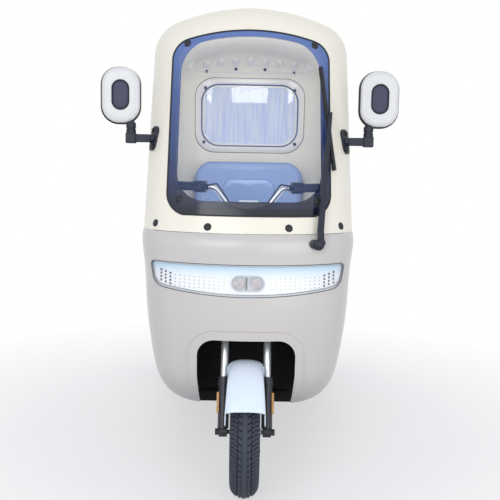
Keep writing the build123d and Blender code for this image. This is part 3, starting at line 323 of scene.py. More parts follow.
def moulded(
    name, colour, roughness, variation=0.04, grain_mm=1.6, grain=0.05, coat=0.0, deeper=None, cloud_mm=350, low_shade=None
):
    """Moulded or painted panel: faint cloudy colour shift, fine grain and, when a low colour is given, painted shade
    that darkens it towards the low edge.
    """
    material, tree, shader = new_material(name, {"Roughness": roughness, "Coat Weight": coat, "Coat Roughness": 0.12})
    place = add(tree, "ShaderNodeTexCoord").outputs["Object"]
    cloud = add(tree, "ShaderNodeTexNoise", {"Vector": place, "Scale": 1000 / cloud_mm, "Detail": 3.0})
    base = linear(colour)
    dark = linear(deeper) if deeper else [c * (1 - variation) for c in base[:3]] + [1.0]
    paint = add(tree, "ShaderNodeMix", {"Factor": cloud.outputs["Fac"], 6: dark, 7: base}, data_type="RGBA").outputs[2]
    # Painted shade: the colour darkens towards the low edge
    if low_shade:
        height = add(tree, "ShaderNodeSeparateXYZ", {"Vector": place}).outputs["Z"]
        fade = {"Value": height, 1: SHADE_LOW, 2: SHADE_TOP, 3: SHADE_SHARE, 4: 0.0}
        share = add(tree, "ShaderNodeMapRange", fade).outputs["Result"]
        paint = add(tree, "ShaderNodeMix", {"Factor": share, 6: paint, 7: linear(low_shade)}, data_type="RGBA").outputs[2]
    tree.links.new(paint, shader.inputs["Base Color"])
    fine = add(tree, "ShaderNodeTexNoise", {"Vector": place, "Scale": 1000 / grain_mm, "Detail": 2.0})
    bump = add(tree, "ShaderNodeBump", {"Height": fine.outputs["Fac"], "Strength": grain, "Distance": 0.0004})
    tree.links.new(bump.outputs["Normal"], shader.inputs["Normal"])
    return material


def drawn_metal(name, colour, roughness, streak_mm=0.8, metallic=1.0):
    """Bare or plated metal with fine wear streaks."""
    material, tree, shader = new_material(name, {"Base Color": linear(colour), "Metallic": metallic})
    place = add(tree, "ShaderNodeTexCoord").outputs["Object"]
    streak = add(tree, "ShaderNodeTexNoise", {"Vector": place, "Scale": 1000 / streak_mm / 10, "Detail": 4.0})
    spread = {"Value": streak.outputs["Fac"], "To Min": roughness * 0.8, "To Max": roughness * 1.3}
    ramp = add(tree, "ShaderNodeMapRange", spread)
    tree.links.new(ramp.outputs["Result"], shader.inputs["Roughness"])
    return material


# Cycles of the rear sheet's rain streaks per metre across, along and up, and the noise between which they show
STREAK_SCALE = (75.0, 1.0, 4.0)
STREAK_FROM, STREAK_TO = 0.35, 0.65


def tinted_glass(name, colour, alpha, roughness=0.03, streaks=None):
    """Clear or tinted glazing: see-through with a glossy face, and upright streaks if asked."""
    gloss = {"Roughness": roughness, "IOR": 1.5, "Specular IOR Level": 0.5}
    material, tree, shader = new_material(name, {"Base Color": linear(colour), "Alpha": alpha, **gloss})
    if streaks:
        place = add(tree, "ShaderNodeTexCoord").outputs["Object"]
        stretched = add(tree, "ShaderNodeMapping", {"Vector": place, "Scale": STREAK_SCALE}).outputs["Vector"]
        rain = add(tree, "ShaderNodeTexNoise", {"Vector": stretched, "Scale": 1.0, "Detail": 4.0}).outputs["Fac"]
        sharp = add(tree, "ShaderNodeMapRange", {"Value": rain, 1: STREAK_FROM, 2: STREAK_TO}).outputs["Result"]
        mix = add(tree, "ShaderNodeMix", {"Factor": sharp, 6: linear(colour), 7: linear(streaks)}, data_type="RGBA")
        tree.links.new(mix.outputs[2], shader.inputs["Base Color"])
    return material


# Moulded ABS with a polished skin: a broad soft sheen over faint clouding
# The nose's colour darkens towards its low edge: painted shade where the shell curves under
shell = moulded("moulded_abs_nose", "#cbc5bf", 0.3, deeper="#c4c1bf", coat=0.3, low_shade="#86838a")
cream = moulded("moulded_abs_canopy", "#f0ebdb", 0.32, deeper="#ebe6d6", coat=0.25)
white_gloss = moulded("moulded_abs_fender", "#e1ecf7", 0.26, coat=0.4)
mirror_white = moulded("moulded_abs_mirror", "#d9d9d8", 0.35, coat=0.15)
# Spark-grained plastic and matt liners: black with a dull, broken highlight
black_plastic = moulded("grained_black_plastic", "#15171c", 0.5, variation=0.15, grain=0.3)
trim_navy = moulded("satin_dark_bracket", "#141a2e", 0.5, variation=0.15, grain=0.15)
liner_black = moulded("matt_black_liner", "#030304", 0.9, variation=0.2, grain=0.3)
# Sprayed steel and castings: half-gloss black that lights up along its edges
frame_paint = moulded("black_chassis_paint", "#1d1f23", 0.45, variation=0.15)
floor_mat = moulded("ribbed_floor_mat", "#43464c", 0.75, variation=0.1, grain=0.4)
fork_black = moulded("fork_casting_paint", "#252932", 0.4, variation=0.1)
# Rubber: dark blue-grey, with almost no highlight on the tread
rubber = moulded("moulded_rubber", "#1d2027", 0.62, variation=0.2, grain=0.4)
tyre_rubber = moulded("tyre_tread_rubber", "#383e4c", 0.7, variation=0.25, grain=0.5)
# Embossed vinyl: powder blue with a pebbled half-sheen
seat_vinyl = moulded("grained_seat_vinyl", "#8fa6d0", 0.45, variation=0.05, grain_mm=2.4, grain=0.5)
# Plated and cast metal: bright streaks on the plating, a soft grey glow on the casting
chrome = drawn_metal("chromed_steel", "#d7dadd", 0.2, metallic=0.6)
alloy = drawn_metal("cast_alloy", "#a9adb3", 0.38)
# Glazing: a faint blue sheet over the cabin, a milky one at the rear and a clear lamp cover
screen_glass = tinted_glass("tinted_screen_glass", "#8fadf0", 0.06)
window_glass = tinted_glass("rear_window_sheet", "#b3c6ee", 0.62, streaks="#dbe2ee")
lamp_clear = tinted_glass("clear_lamp_cover", "#eef6fa", 0.1)


def coloured_by_height(name, sockets, low_z, top_z, stops):
    """A finish whose colour changes with height: stops are (share of the height, colour)."""
    material, tree, shader = new_material(name, sockets)
    place = add(tree, "ShaderNodeTexCoord").outputs["Object"]
    height = add(tree, "ShaderNodeSeparateXYZ", {"Vector": place}).outputs["Z"]
    share = add(tree, "ShaderNodeMapRange", {"Value": height, 1: low_z * MM, 2: top_z * MM}).outputs["Result"]
    ramp = add(tree, "ShaderNodeValToRGB", {"Fac": share})
    for k, (at, colour) in enumerate(stops):
        stop = ramp.color_ramp.elements[k] if k < 2 else ramp.color_ramp.elements.new(at)
        stop.position, stop.color = at, linear(colour)
    tree.links.new(ramp.outputs["Color"], shader.inputs["Base Color"])
    return material


# Blue ceramic ink fired on the screen's rim, with a painted sky reflection: paler towards the top, where it leans back
# under the sky
INK_AND_SKY_STOPS = [(0.0, "#10151f"), (0.1, "#1c2743"), (0.3, "#2b3f70"), (0.6, "#40588f"), (1.0, "#5c78b4")]
INK = {"Roughness": 0.14, "Alpha": 0.93, "Specular IOR Level": 0.6}
band_ink = coloured_by_height("ceramic_band_on_glass", INK, SCREEN_LOW_Z, SCREEN_TOP_Z, INK_AND_SKY_STOPS)
# White vacuum-coated bowl with a painted sky reflection: pale sky blue under its upper edge, white below
BOWL_AND_SKY_STOPS = [(0.0, "#ffffff"), (0.55, "#fbfbfe"), (0.74, "#e4f1fa"), (0.86, "#c6e2f1"), (1.0, "#a9cbe0")]
BOWL = {"Roughness": 0.28, "Coat Weight": 0.4}
reflector = coloured_by_height("vacuum_coated_reflector", BOWL, LAMP_LOW_Z, LAMP_TOP_Z, BOWL_AND_SKY_STOPS)
# Small lamp, seal and mirror parts: plain satin plastics and rubber
dot_brown = moulded("lamp_dot_brown", "#4a3330", 0.4, variation=0.2, grain=0.0)
dot_grey = moulded("lamp_dot_grey", "#c9c2c6", 0.4, variation=0.1, grain=0.0)
# Dark grey for the gap round the lamp lens: painted shadow
gap_shadow_grey = moulded("lamp_gap_painted_shadow", "#565c68", 0.5, variation=0.1, grain=0.1)
seal_blue = moulded("window_seal_rubber", "#4d5c88", 0.5, variation=0.1, grain=0.1)
inset_navy = moulded("mirror_inset_gloss", "#30344d", 0.5, variation=0.05, grain=0.0)
# A darker copy of the tread rubber for the groove bottoms: painted shade in the grooves
groove_shade_rubber = moulded("tyre_groove_painted_shade", "#171a21", 0.85, variation=0.2, grain=0.3)
module_grey = moulded("lamp_module_bezel_abs", "#d9dde2", 0.25, variation=0.05, grain=0.0, coat=0.4)
cell_mottled = moulded(
    "pressed_lamp_cell", "#f0e4e0", 0.2, grain_mm=6.0, grain=0.6, coat=0.6, deeper="#7d6a70", cloud_mm=9
)
border_grey = moulded("moulded_abs_window_border", "#e6e3de", 0.35, coat=0.2)
groove_grey = moulded("panel_gap_shadow", "#5d5c5c", 0.7, variation=0.1, grain=0.1)
piping_vinyl = moulded("welt_cord_vinyl", "#7389b8", 0.45, variation=0.06, grain=0.3)


# Distance from the middle, in metres, at which the bar turns from chrome to black
POD_EDGE = (0.1545, 0.1555)


def bar_with_pods(name):
    """Chromed bar that turns to black moulded switch pods where the hands are."""
    material, tree, shader = new_material(name, {})
    place = add(tree, "ShaderNodeTexCoord").outputs["Object"]
    across = add(tree, "ShaderNodeSeparateXYZ", {"Vector": place}).outputs["X"]
    outward = add(tree, "ShaderNodeMath", {0: across}, operation="ABSOLUTE").outputs[0]
    pod = add(tree, "ShaderNodeMapRange", {"Value": outward, 1: POD_EDGE[0], 2: POD_EDGE[1]}).outputs["Result"]
    colours = {"Factor": pod, 6: linear("#dde2ea"), 7: linear("#181b22")}
    paint = add(tree, "ShaderNodeMix", colours, data_type="RGBA").outputs[2]
    metal = add(tree, "ShaderNodeMath", {0: 1.0, 1: pod}, operation="SUBTRACT").outputs[0]
    rough = add(tree, "ShaderNodeMapRange", {"Value": pod, 3: 0.3, 4: 0.5}).outputs["Result"]
    for socket, value in (("Base Color", paint), ("Metallic", metal), ("Roughness", rough)):
        tree.links.new(value, shader.inputs[socket])
    return material


chromed_bar = bar_with_pods("chromed_bar_black_pods")
# Lamp plastics: glossy, deep in colour
amber = moulded("amber_reflector", "#d39a4c", 0.2, coat=0.6)
red_lens = moulded("red_lamp_lens", "#a3211f", 0.18, coat=0.8)
mirror_face = drawn_metal("silvered_mirror", "#dfe4ea", 0.03)
battery_case = moulded("battery_case", "#2b3a4a", 0.6)

FINISHES = [
    (shell, "front_shell rear_body"),
    (cream, "windshield_frame roof rear_wall"),
    (screen_glass, "windshield"),
    (window_glass, "rear_window"),
    (lamp_clear, "headlamp_lens"),
    (mirror_white, "headlamp_housing mirror_shells"),
    (liner_black, "wheel_arch_liner rear_wheel_wells"),
    (black_plastic, "dash_panel rear_bumper brake_levers"),
    (floor_mat, "floor_pan"),
    (frame_paint, "chassis_frame driver_seat_box driver_seat_base rear_bench"),
    (frame_paint, "drive_axle drive_motor leaf_springs"),
    (battery_case, "battery_pack"),
    (seat_vinyl, "rear_seat_cushion rear_backrest driver_seat_cushion driver_backrest"),
    (red_lens, "tail_lamps"),
    (trim_navy, "mirror_arms wiper_spindle wiper_arm"),
    (mirror_face, "mirror_glasses"),
    (fork_black, "fork_lower_legs front_axle"),
    (chrome, "fork_tubes"),
    (white_gloss, "front_fender"),
    (alloy, "brake_plate wheel_front wheel_rear_left wheel_rear_right"),
    (amber, "fork_reflectors"),
    (chromed_bar, "handlebar"),
    (rubber, "grips brake_cables wiper_blade"),
    (tyre_rubber, "tyre_front tyre_rear_left tyre_rear_right"),
]
for finish, nodes in FINISHES:
    for node in nodes.split():
        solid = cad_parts[node]
        solid.data.materials.clear()
        solid.data.materials.append(finish)

# Camera
camera = placed("camera", bpy.data.cameras.new("camera"))
camera.data.lens = CAMERA_LENS
camera.data.sensor_width = 36.0
camera.location = Vector(CAMERA_AT) * MM
camera.rotation_mode = "XYZ"
camera.matrix_world = (
    Matrix.Translation(Vector(CAMERA_AT) * MM)
    @ Matrix.Rotation(radians(CAMERA_YAW), 4, "Z")
    @ Matrix.Rotation(radians(90 - CAMERA_PITCH), 4, "X")
    @ Matrix.Rotation(radians(CAMERA_ROLL), 4, "Z")
)
bpy.context.scene.camera = camera

# Windscreen: the printed band and the rubber seal at its edge
glass_at = surface("windshield")
front_at = surface("windshield", "windshield_frame", "front_shell")
GLASS_GAP = 0.35


def screen_ring(shrink_side, shrink_low, shrink_top, low_r, top_r, steps=(24, 10)):
    """Points round an arched outline inside the screen's, anticlockwise from the low left corner."""
    straight, corner = steps
    half, low, top = SCREEN_HALF_W - shrink_side, SCREEN_LOW_Z + shrink_low, SCREEN_TOP_Z - shrink_top
    crown_r = SCREEN_TOP_R - shrink_top
    crown_z = top - crown_r
    turn_x = half - top_r
    turn_z = crown_z + sqrt((crown_r - top_r) ** 2 - turn_x**2)
    tilt = atan2(turn_z - crown_z, turn_x)
    right = [((half - low_r) * k / straight, low) for k in range(straight)]
    for k in range(corner):
        a = pi / 2 * (k / corner - 1)
        right.append((half - low_r + low_r * cos(a), low + low_r + low_r * sin(a)))
    right += [(half, low + low_r + (turn_z - low - low_r) * k / straight) for k in range(straight)]
    right += [(turn_x + top_r * cos(tilt * k / corner), turn_z + top_r * sin(tilt * k / corner)) for k in range(corner)]
    for k in range(straight + 1):
        a = tilt + (pi / 2 - tilt) * k / straight
        right.append((crown_r * cos(a), crown_z + crown_r * sin(a)))
    return right + [(-x, z) for x, z in reversed(right[1:-1])]


def on_glass(x, z, lift):
    """A point over the screen's outer face or the frame beside it, moved out by lift."""
    hit = glass_at(x, z) or front_at(x, z)
    return Vector((x, hit.y - lift, z))


# The band runs from just inside the seal to its inner edge, which is further in below than above
BAND_IN = 3.5
edge = screen_ring(BAND_IN, BAND_IN, BAND_IN, SCREEN_LOW_CORNER - BAND_IN, SCREEN_TOP_CORNER - BAND_IN)
inner_edge = screen_ring(36, 50, 24, 96, 120)
BAND_ROWS = 7
band_points = []
for row in range(BAND_ROWS):
    t = row / (BAND_ROWS - 1)
    for (x0, z0), (x1, z1) in zip(edge, inner_edge):
        band_points.append(on_glass(x0 + (x1 - x0) * t, z0 + (z1 - z0) * t, GLASS_GAP))
band_faces = grid_faces(BAND_ROWS, len(edge), wrap_columns=True)
mesh_piece("screen_band", band_points, band_faces, "body", band_ink, slot="glass")

# Rows of the seal's cross section: shrink from the screen's outline, lift off the glass
SEAL_ROWS = [(-2.0, 0.2), (-1.0, 2.2), (1.2, 2.8), (3.4, 2.2), (4.6, 0.2)]
seal_points = []
for shrink, lift in SEAL_ROWS:
    outline = screen_ring(shrink, shrink, shrink, SCREEN_LOW_CORNER - shrink, SCREEN_TOP_CORNER - shrink)
    seal_points.extend(on_glass(x, z, lift) for x, z in outline)
seal_faces = grid_faces(len(SEAL_ROWS), len(edge), wrap_columns=True)
mesh_piece("screen_seal", seal_points, seal_faces, "body", rubber, slot="rubber")

# Domed caps over the screen's and the frame's screws: places on the front as (X, Z)
CAP_PROFILE = [(13.5, -0.4), (13.5, 0.9), (11.8, 1.3), (11.2, 2.6), (8.8, 3.9), (4.8, 4.7), (0.6, 4.9)]
BAND_CAPS = [(-234, 1566), (234, 1566), (-244, 1003), (244, 1003)]
BORDER_CAPS = [(-328, 916), (-139, 912), (139, 912), (328, 916)]
cap_forms = [turned(CAP_PROFILE, surface_frame(front_at, x, z)) for x, z in BAND_CAPS + BORDER_CAPS]
mesh_piece("screen_caps", *joined(cap_forms), "body", black_plastic, slot="black_plastic")

# Headlamp: a dark ring painted as the shadow in the gap round the lens, reflector plate, dot rows and the middle module
lens_at = surface("headlamp_lens")
shell_at = surface("front_shell", "headlamp_lens")


# The ends lean in by this much from top to foot, and the lower edge bows down by this much
LAMP_LEAN = 14.0
LAMP_BOW = 26.0
LAMP_CORNER_R = 14.0
LAMP_END_R = 46.0


def lamp_ring(grow):
    """The lamp strip's outline from the front: straight above, bowed below, round ends."""
    half, top, low = LAMP_HALF_W + grow, LAMP_TOP_Z + grow, LAMP_LOW_Z - grow
    foot, end_z, end_r = half - LAMP_LEAN, low + LAMP_BOW, LAMP_END_R + grow
    bow_r = (foot**2 + LAMP_BOW**2) / (2 * LAMP_BOW)
    bow = Vector((0, low + bow_r))
    up = Vector((LAMP_LEAN, top - end_z)).normalized()
    inward = Vector((-up.y, up.x))
    base = Vector((foot, end_z)) + inward * end_r - bow
    b, c = base.dot(up), base.length_squared - (bow_r - end_r) ** 2
    out = base + up * (-b - sqrt(b * b - c))
    middle = bow + out
    a0, a1 = atan2(-inward.y, -inward.x), atan2(out.y, out.x)
    right = [((half - 30) * k / 24, top) for k in range(24)]
    right += corner_arc((-half, top), (half, top), (foot, end_z), LAMP_CORNER_R + grow, 6)
    for k in range(11):
        a = a0 + (a1 - a0) * k / 10
        right.append((middle.x + end_r * cos(a), middle.y + end_r * sin(a)))
    for k in range(1, 25):
        a = a1 + (-pi / 2 - a1) * k / 24
        right.append((bow_r * cos(a), bow.y + bow_r * sin(a)))
    return right + [(-x, z) for x, z in reversed(right[1:-1])]


def on_nose(x, z, lift):
    """A point over the nose panel or the lamp lens, moved forward by lift."""
    hit = shell_at(x, z)
    for step in (2.0, 4.0):
        hit = hit or shell_at(x * (1 - step / LAMP_HALF_W), z + (step if z < LAMP_MID_Z else -step))
    return Vector((x, hit.y - lift, z))


# A thin dark tube round the lens outline: painted shadow in the gap between lens and nose
gap_shadow_route = [on_nose(x, z, 0.0) for x, z in even(lamp_ring(0.3), 9)]
mesh_piece("lamp_gap_shadow_ring", *tube(gap_shadow_route, 1.4, 8, closed=True), "body", gap_shadow_grey, slot="rubber")

PLATE_DEPTH = 13.0
plate_outline = lamp_ring(-7.0)
PLATE_ROWS = 9
plate_points = []
for row in range(PLATE_ROWS):
    t = row / (PLATE_ROWS - 1)
    for x, z in plate_outline:
        plate_points.append(on_nose(x * (1 - 0.04 * t), z + (LAMP_MID_Z - z) * t, -PLATE_DEPTH))
plate_faces = grid_faces(PLATE_ROWS, len(plate_outline), wrap_columns=True)
mesh_piece("lamp_reflector", plate_points, plate_faces, "body", reflector, slot="mirror_shell_plastic")


def on_plate(x, z):
    """A point on the reflector plate behind the lens."""
    return on_nose(x, z, -PLATE_DEPTH)


# Dots from each end inwards: columns at an even pitch that step down, four rows in each
DOT_PITCH_X = 17.2
DOT_PITCH_Z = 12.2
DOT_END_X = 303.0
DOT_TOP_Z = 756.0
DOT_STEP_Z = 4.6
DOT_COLUMNS = 14
DARK_COLUMNS = 3
DOT_PROFILE = [(1.15, -1.5), (1.15, 0.9), (1.0, 1.5), (0.75, 1.2), (0.2, 0.9)]
dark_dots, pale_dots = [], []
for side in (-1, 1):
    for column in range(DOT_COLUMNS):
        dot_r = 3.7 if column < DARK_COLUMNS else 2.5 - 0.07 * column
        for row in range(4):
            x = side * (DOT_END_X - column * DOT_PITCH_X)
            z = DOT_TOP_Z - row * DOT_PITCH_Z - DOT_STEP_Z * min(column, 3) - 0.3 * column
            form = turned([(dot_r * r, h) for r, h in DOT_PROFILE], surface_frame(on_plate, x, z), 14)
            (dark_dots if column < DARK_COLUMNS else pale_dots).append(form)
mesh_piece("lamp_dots_dark", *joined(dark_dots), "body", dot_brown, slot="black_plastic")
mesh_piece("lamp_dots_pale", *joined(pale_dots), "body", dot_grey, slot="black_plastic")

# Middle module: a thin bezel, two round lens cells, a dark bar between them and a clear cover
MODULE = (2.0, 723.0)
MODULE_HALF_W = 56.0
MODULE_HALF_H = 26.0
module_place = surface_frame(on_plate, *MODULE)


def module_rows(rows):
    """Outlines of the module from (shrink, height) rows."""
    return shrunk(MODULE_HALF_W, MODULE_HALF_H, MODULE_HALF_H - 0.5, rows)


bezel = banked(module_rows([(-1.5, -1), (-1.5, 4.5), (0.5, 5.2), (1.5, 4.2), (2.5, 0.4)]), module_place)
mesh_piece("lamp_module_bezel", *bezel, "body", module_grey, slot="lamp_clear")
cover = banked(module_rows([(1.5, 5), (4, 7), (9, 8.6), (15, 9.3), (20, 9.6)]), module_place)
mesh_piece("lamp_module_cover", *cover, "body", lamp_clear, slot="lamp_clear")
CELL_XS = (-30.0, 27.0)
CELL_PROFILE = [(21, 0.2), (21, 2.6), (17, 3.4), (14, 2.2), (11, 3.6), (8, 2.4), (5, 4.0), (1.5, 4.4)]
cells = [turned(CELL_PROFILE, module_place @ Matrix.Translation((x, 0, 0.4)), 20) for x in CELL_XS]
mesh_piece("lamp_module_cells", *joined(cells), "body", cell_mottled, slot="lamp_clear")
bar_rows = [(oblong(2.6 - k, 20 - k, 1.5, 4, (-5.0, 0.0)), h) for k, h in ((0, 0.2), (0, 4.4), (0.7, 5.0))]
mesh_piece("lamp_module_bar", *banked(bar_rows, module_place), "body", dot_brown, slot="black_plastic")

# Rear window: raised border, rubber seal, screws and the row of tabs above it
wall_at = surface("rear_wall", "rear_window", "roof")
WINDOW_MID_Z = (WINDOW_LOW_Z + WINDOW_TOP_Z) / 2


def behind(x, z, lift=0.0):
    """A point on the cabin's inside face at the rear, moved forward by lift."""
    hit = wall_at(x, z, from_y=300.0)
    return Vector((x, hit.y - lift, z))


def window_ring(grow, steps=12):
    """The rear window's outline, grown by some millimetres."""
    half_h = (WINDOW_TOP_Z - WINDOW_LOW_Z) / 2
    return oblong(WINDOW_HALF_W + grow, half_h + grow, WINDOW_CORNER + 0.25 * grow, steps, (0.0, WINDOW_MID_Z))


# Rows of the border: grow from the window's outline, height over the wall
BORDER_ROWS = [(34, 0.2), (34, 3.2), (31.5, 4.6), (5, 4.6), (2.5, 3.4), (2.5, 0.2)]
border_points = []
for grow, lift in BORDER_ROWS:
    border_points.extend(behind(x, z) - Vector((0, lift, 0)) for x, z in window_ring(grow))
border_faces = grid_faces(len(BORDER_ROWS), len(window_ring(0)), wrap_columns=True)
mesh_piece("rear_window_border", border_points, border_faces, "body", border_grey, slot="canopy_plastic")
wall_only = surface("rear_wall")
# The seal lies in the opening, so its depth is read from the wall a little further out
OUT_X, OUT_Z = 1.02, 1.03
seal_route = []
for x, z in even(window_ring(0), 16):
    at = wall_only(x * OUT_X, WINDOW_MID_Z + (z - WINDOW_MID_Z) * OUT_Z, 300.0)
    seal_route.append(Vector((at.x / OUT_X, at.y - 2.0, WINDOW_MID_Z + (at.z - WINDOW_MID_Z) / OUT_Z)))
mesh_piece("rear_window_seal", *tube(seal_route, 4.0, 10, closed=True), "body", seal_blue, slot="rubber")
outline_route = [behind(x, z, 0.6) for x, z in even(window_ring(35.5), 20)]
mesh_piece("rear_window_groove", *tube(outline_route, 1.6, 8, closed=True), "body", groove_grey, slot="rubber")
SCREW_PROFILE = [(9.0, -0.3), (9.0, 1.4), (7.6, 3.0), (4.0, 4.0), (0.5, 4.2)]
WINDOW_SCREWS = [(-243, 1541), (243, 1534), (-250, 1250), (250, 1246)]
over_border = Matrix.Translation((0, -4.6, 0))
screws = [turned(SCREW_PROFILE, over_border @ surface_frame(behind, x, z), 16) for x, z in WINDOW_SCREWS]
TAB_Z = 1679.0
TAB_PITCH = 79.0
TAB_SAG = 2.0
TAB_ROWS = [(0, 0.2), (0, 8.0), (1.2, 9.6), (6, 10.0)]
LEDGE_Z = 1626.0
tabs = []
for k in range(-4, 5):
    tab_z = TAB_Z - TAB_SAG * k**2
    place = surface_frame(behind, k * TAB_PITCH, tab_z)
    tabs.append(banked([(oblong(16 - d, 22 - d, 4 - d / 2, 3), h) for d, h in TAB_ROWS], place))
    if k % 2:
        screws.append(turned(SCREW_PROFILE, surface_frame(behind, k * TAB_PITCH, tab_z - 34), 16))
mesh_piece("roof_tabs", *joined(tabs), "body", border_grey, slot="canopy_plastic")
ledge_route = [behind(x, LEDGE_Z, 1.0) for x in range(-300, 301, 15)]
mesh_piece("rear_wall_ledge", *tube(ledge_route, 3.5, 8), "body", border_grey, slot="canopy_plastic")
mesh_piece("rear_screws", *joined(screws), "body", black_plastic, slot="black_plastic")

# Mirrors: a domed white shell on a dark rim, with a dark oval inset
MIRROR_FRONT_Y = -537.0
MIRROR_OVAL = (70.5, 100.5, 62.5)
INSET_OVAL = (32.4, 54.4, 32.0)
RIM_DOWN = Vector((-1.5, 0, -2.0))
# Rows as (shrink from the oval, depth behind the front face); the inset's rows rise in front of it
SHELL_ROWS = [
    (0.5, 27.0), (0.0, 20.0), (0.4, 14.0), (2.0, 8.6), (5.0, 4.6), (9.5, 1.9), (15.5, 0.5), (23.0, 0.0), (39.0, 0.0)
]
RIM_ROWS = [(0.6, 10.5), (-1.6, 13.0), (-2.6, 17.0), (-2.6, 30.0), (-1.0, 33.0), (2.5, 33.0), (3.5, 24.0)]
INSET_ROWS = [(4.2, -0.2), (4.6, 0.8), (11.0, 1.6), (20.0, 2.2), (28.0, 2.4)]
INSET_RIM_ROWS = [(0.0, -0.4), (0.0, 1.6), (1.2, 2.4), (3.2, 2.2), (4.4, -0.2)]
shells, rims, insets, inset_rims = [], [], [], []
for side in (-1, 1):
    front = Matrix.Translation((side * MIRROR_X, MIRROR_FRONT_Y, MIRROR_Z)) @ Matrix.Rotation(pi / 2, 4, "X")
    shells.append(banked(shrunk(*MIRROR_OVAL, SHELL_ROWS, sign=-1), front))
    rim_rows = shrunk(*MIRROR_OVAL, RIM_ROWS, sign=-1)
    rims.append(banked(rim_rows, Matrix.Translation(RIM_DOWN) @ front, cap_end=False))
    insets.append(banked(shrunk(*INSET_OVAL, INSET_ROWS, 14), front))
    inset_rims.append(banked(shrunk(*INSET_OVAL, INSET_RIM_ROWS, 14), front, cap_end=False))
mesh_piece(
    "mirror_shells_moulded", *joined(shells), "body", mirror_white, replaces=("mirror_shells",),
    slot="mirror_shell_plastic",
)
mesh_piece("mirror_rims", *joined(rims), "body", black_plastic, slot="black_plastic")
mesh_piece("mirror_insets", *joined(insets), "body", inset_navy, slot="black_plastic")
mesh_piece("mirror_inset_rims", *joined(inset_rims), "body", black_plastic, slot="black_plastic")

# Mirror arms: square sleeve on the bar, elbow block, ringed knuckle and screws in the oval foot
ARM_BEND = (434.0, -520.0, 1216.0)
ARM_FOOT = (349.2, -508.6, 1216.0)
FOOT_TURN = radians(33)
KNUCKLE_PROFILE = [
    (14.5, 14), (17.8, 18), (17.8, 31), (15.8, 32.5), (15.8, 35), (17.8, 36.5), (17.8, 52), (15.5, 55.5)
]
SLEEVE_ROWS = [(12, 12, 3, 12.0), (14.6, 14.6, 3.5, 15.0), (14.6, 14.6, 3.5, 68.0), (12, 12, 3, 70.0)]
ELBOW_ROWS = [(15, 15, 4, -19.0), (18.5, 18, 4.5, -16.0), (18.5, 18, 4.5, 16.0), (15, 15, 4, 19.0)]
# The foot's screws: rise from its middle, the foot's thickness, and its lean back for each mm of rise
FOOT_SCREW_RISE = 30.0
FOOT_T = 8.2
FOOT_SHIFT = 0.35
FOOT_LEAN = 0.364
FOOT_SCREW = [(8.5, -1.0), (8.5, 2.2), (7.0, 3.4), (4.6, 3.6), (4.0, 1.6), (0.4, 1.4)]
arm_forms, screw_forms = [], []
for side in (-1, 1):
    bend = Vector((side * ARM_BEND[0], ARM_BEND[1], ARM_BEND[2]))
    foot = Vector((side * ARM_FOOT[0], ARM_FOOT[1], ARM_FOOT[2]))
    along = (foot - bend).normalized()
    bar = Matrix.Translation(bend) @ along.to_track_quat("Z", "Y").to_matrix().to_4x4()
    arm_forms.append(banked(blocky(SLEEVE_ROWS), bar, cap_start=True))
    arm_forms.append(banked(blocky(ELBOW_ROWS), Matrix.Translation(bend), cap_start=True))
    arm_forms.append(turned(KNUCKLE_PROFILE, Matrix.Translation(bend), 28))
    out = Vector((side * cos(FOOT_TURN), -sin(FOOT_TURN), 0))
    facing = out.to_track_quat("Z", "Y").to_matrix().to_4x4()
    for rise in (-FOOT_SCREW_RISE, FOOT_SCREW_RISE):
        at = foot + out * FOOT_T + Vector((-side * FOOT_SHIFT, FOOT_LEAN * rise, rise))
        screw_forms.append(turned(FOOT_SCREW, Matrix.Translation(at) @ facing, 20))
mesh_piece("mirror_arm_sleeves", *joined(arm_forms), "body", trim_navy, smooth=False, slot="black_plastic")
mesh_piece("mirror_foot_screws", *joined(screw_forms), "body", black_plastic, slot="black_plastic")

# Front fender: a hood that widens to its front edge, with a corner hanging down on each side
FENDER_R = 246.0
FENDER_T = 3.5
FENDER_BACK = 148.0
FENDER_FRONT = 34.5
FENDER_EAR = 25.5
FENDER_HALF = (59.5, 65.0)
FENDER_DROP = 54.0
# Share of the half section where the crown ends and the skirt starts, and the crown's drop there
CROWN_SHARE = 0.72
CROWN_DROP = 26.0
AXLE_Y = AXLES["front"][1]
FENDER_STEPS = 60
FENDER_COLUMNS = 40
fender_points = []
for i in range(FENDER_STEPS + 1):
    t = i / FENDER_STEPS
    ring = []
    for inner in (0, 1):
        across = range(FENDER_COLUMNS + 1) if not inner else range(FENDER_COLUMNS, -1, -1)
        for k in across:
            # Share from one foot of the section over the crown to the other
            u = 2 * k / FENDER_COLUMNS - 1
            side = 1 if u > 0 else -1
            skirt = max(0.0, (abs(u) - CROWN_SHARE) / (1 - CROWN_SHARE))
            ear = skirt**1.6 + 0.05 * (abs(u) / CROWN_SHARE) ** 2
            front = FENDER_FRONT - (FENDER_FRONT - FENDER_EAR) * min(1.0, ear)
            angle = radians(front + (FENDER_BACK - front) * t)
            wide = FENDER_HALF[0] + (FENDER_HALF[1] - FENDER_HALF[0]) * max(0.0, 1 - t * 2.4) ** 1.5
            bend = min(1.0, abs(u) / CROWN_SHARE) * pi / 2
            x = side * ((wide - inner * FENDER_T) * sin(bend) ** 0.92 + 0.8 * skirt)
            drop = CROWN_DROP * (1 - cos(bend) ** 0.75) + (FENDER_DROP - CROWN_DROP) * skirt
            deep = FENDER_R - drop - inner * FENDER_T * cos(bend)
            ring.append((x, AXLE_Y - deep * cos(angle), TYRE_R + deep * sin(angle)))
    fender_points.extend(ring)
ring_size = 2 * (FENDER_COLUMNS + 1)
fender_faces = grid_faces(FENDER_STEPS + 1, ring_size, wrap_columns=True)
for row in (0, FENDER_STEPS):
    for k in range(FENDER_COLUMNS):
        a, b = row * ring_size + k, row * ring_size + ring_size - 1 - k
        fender_faces.append((a, a + 1, b - 1, b))
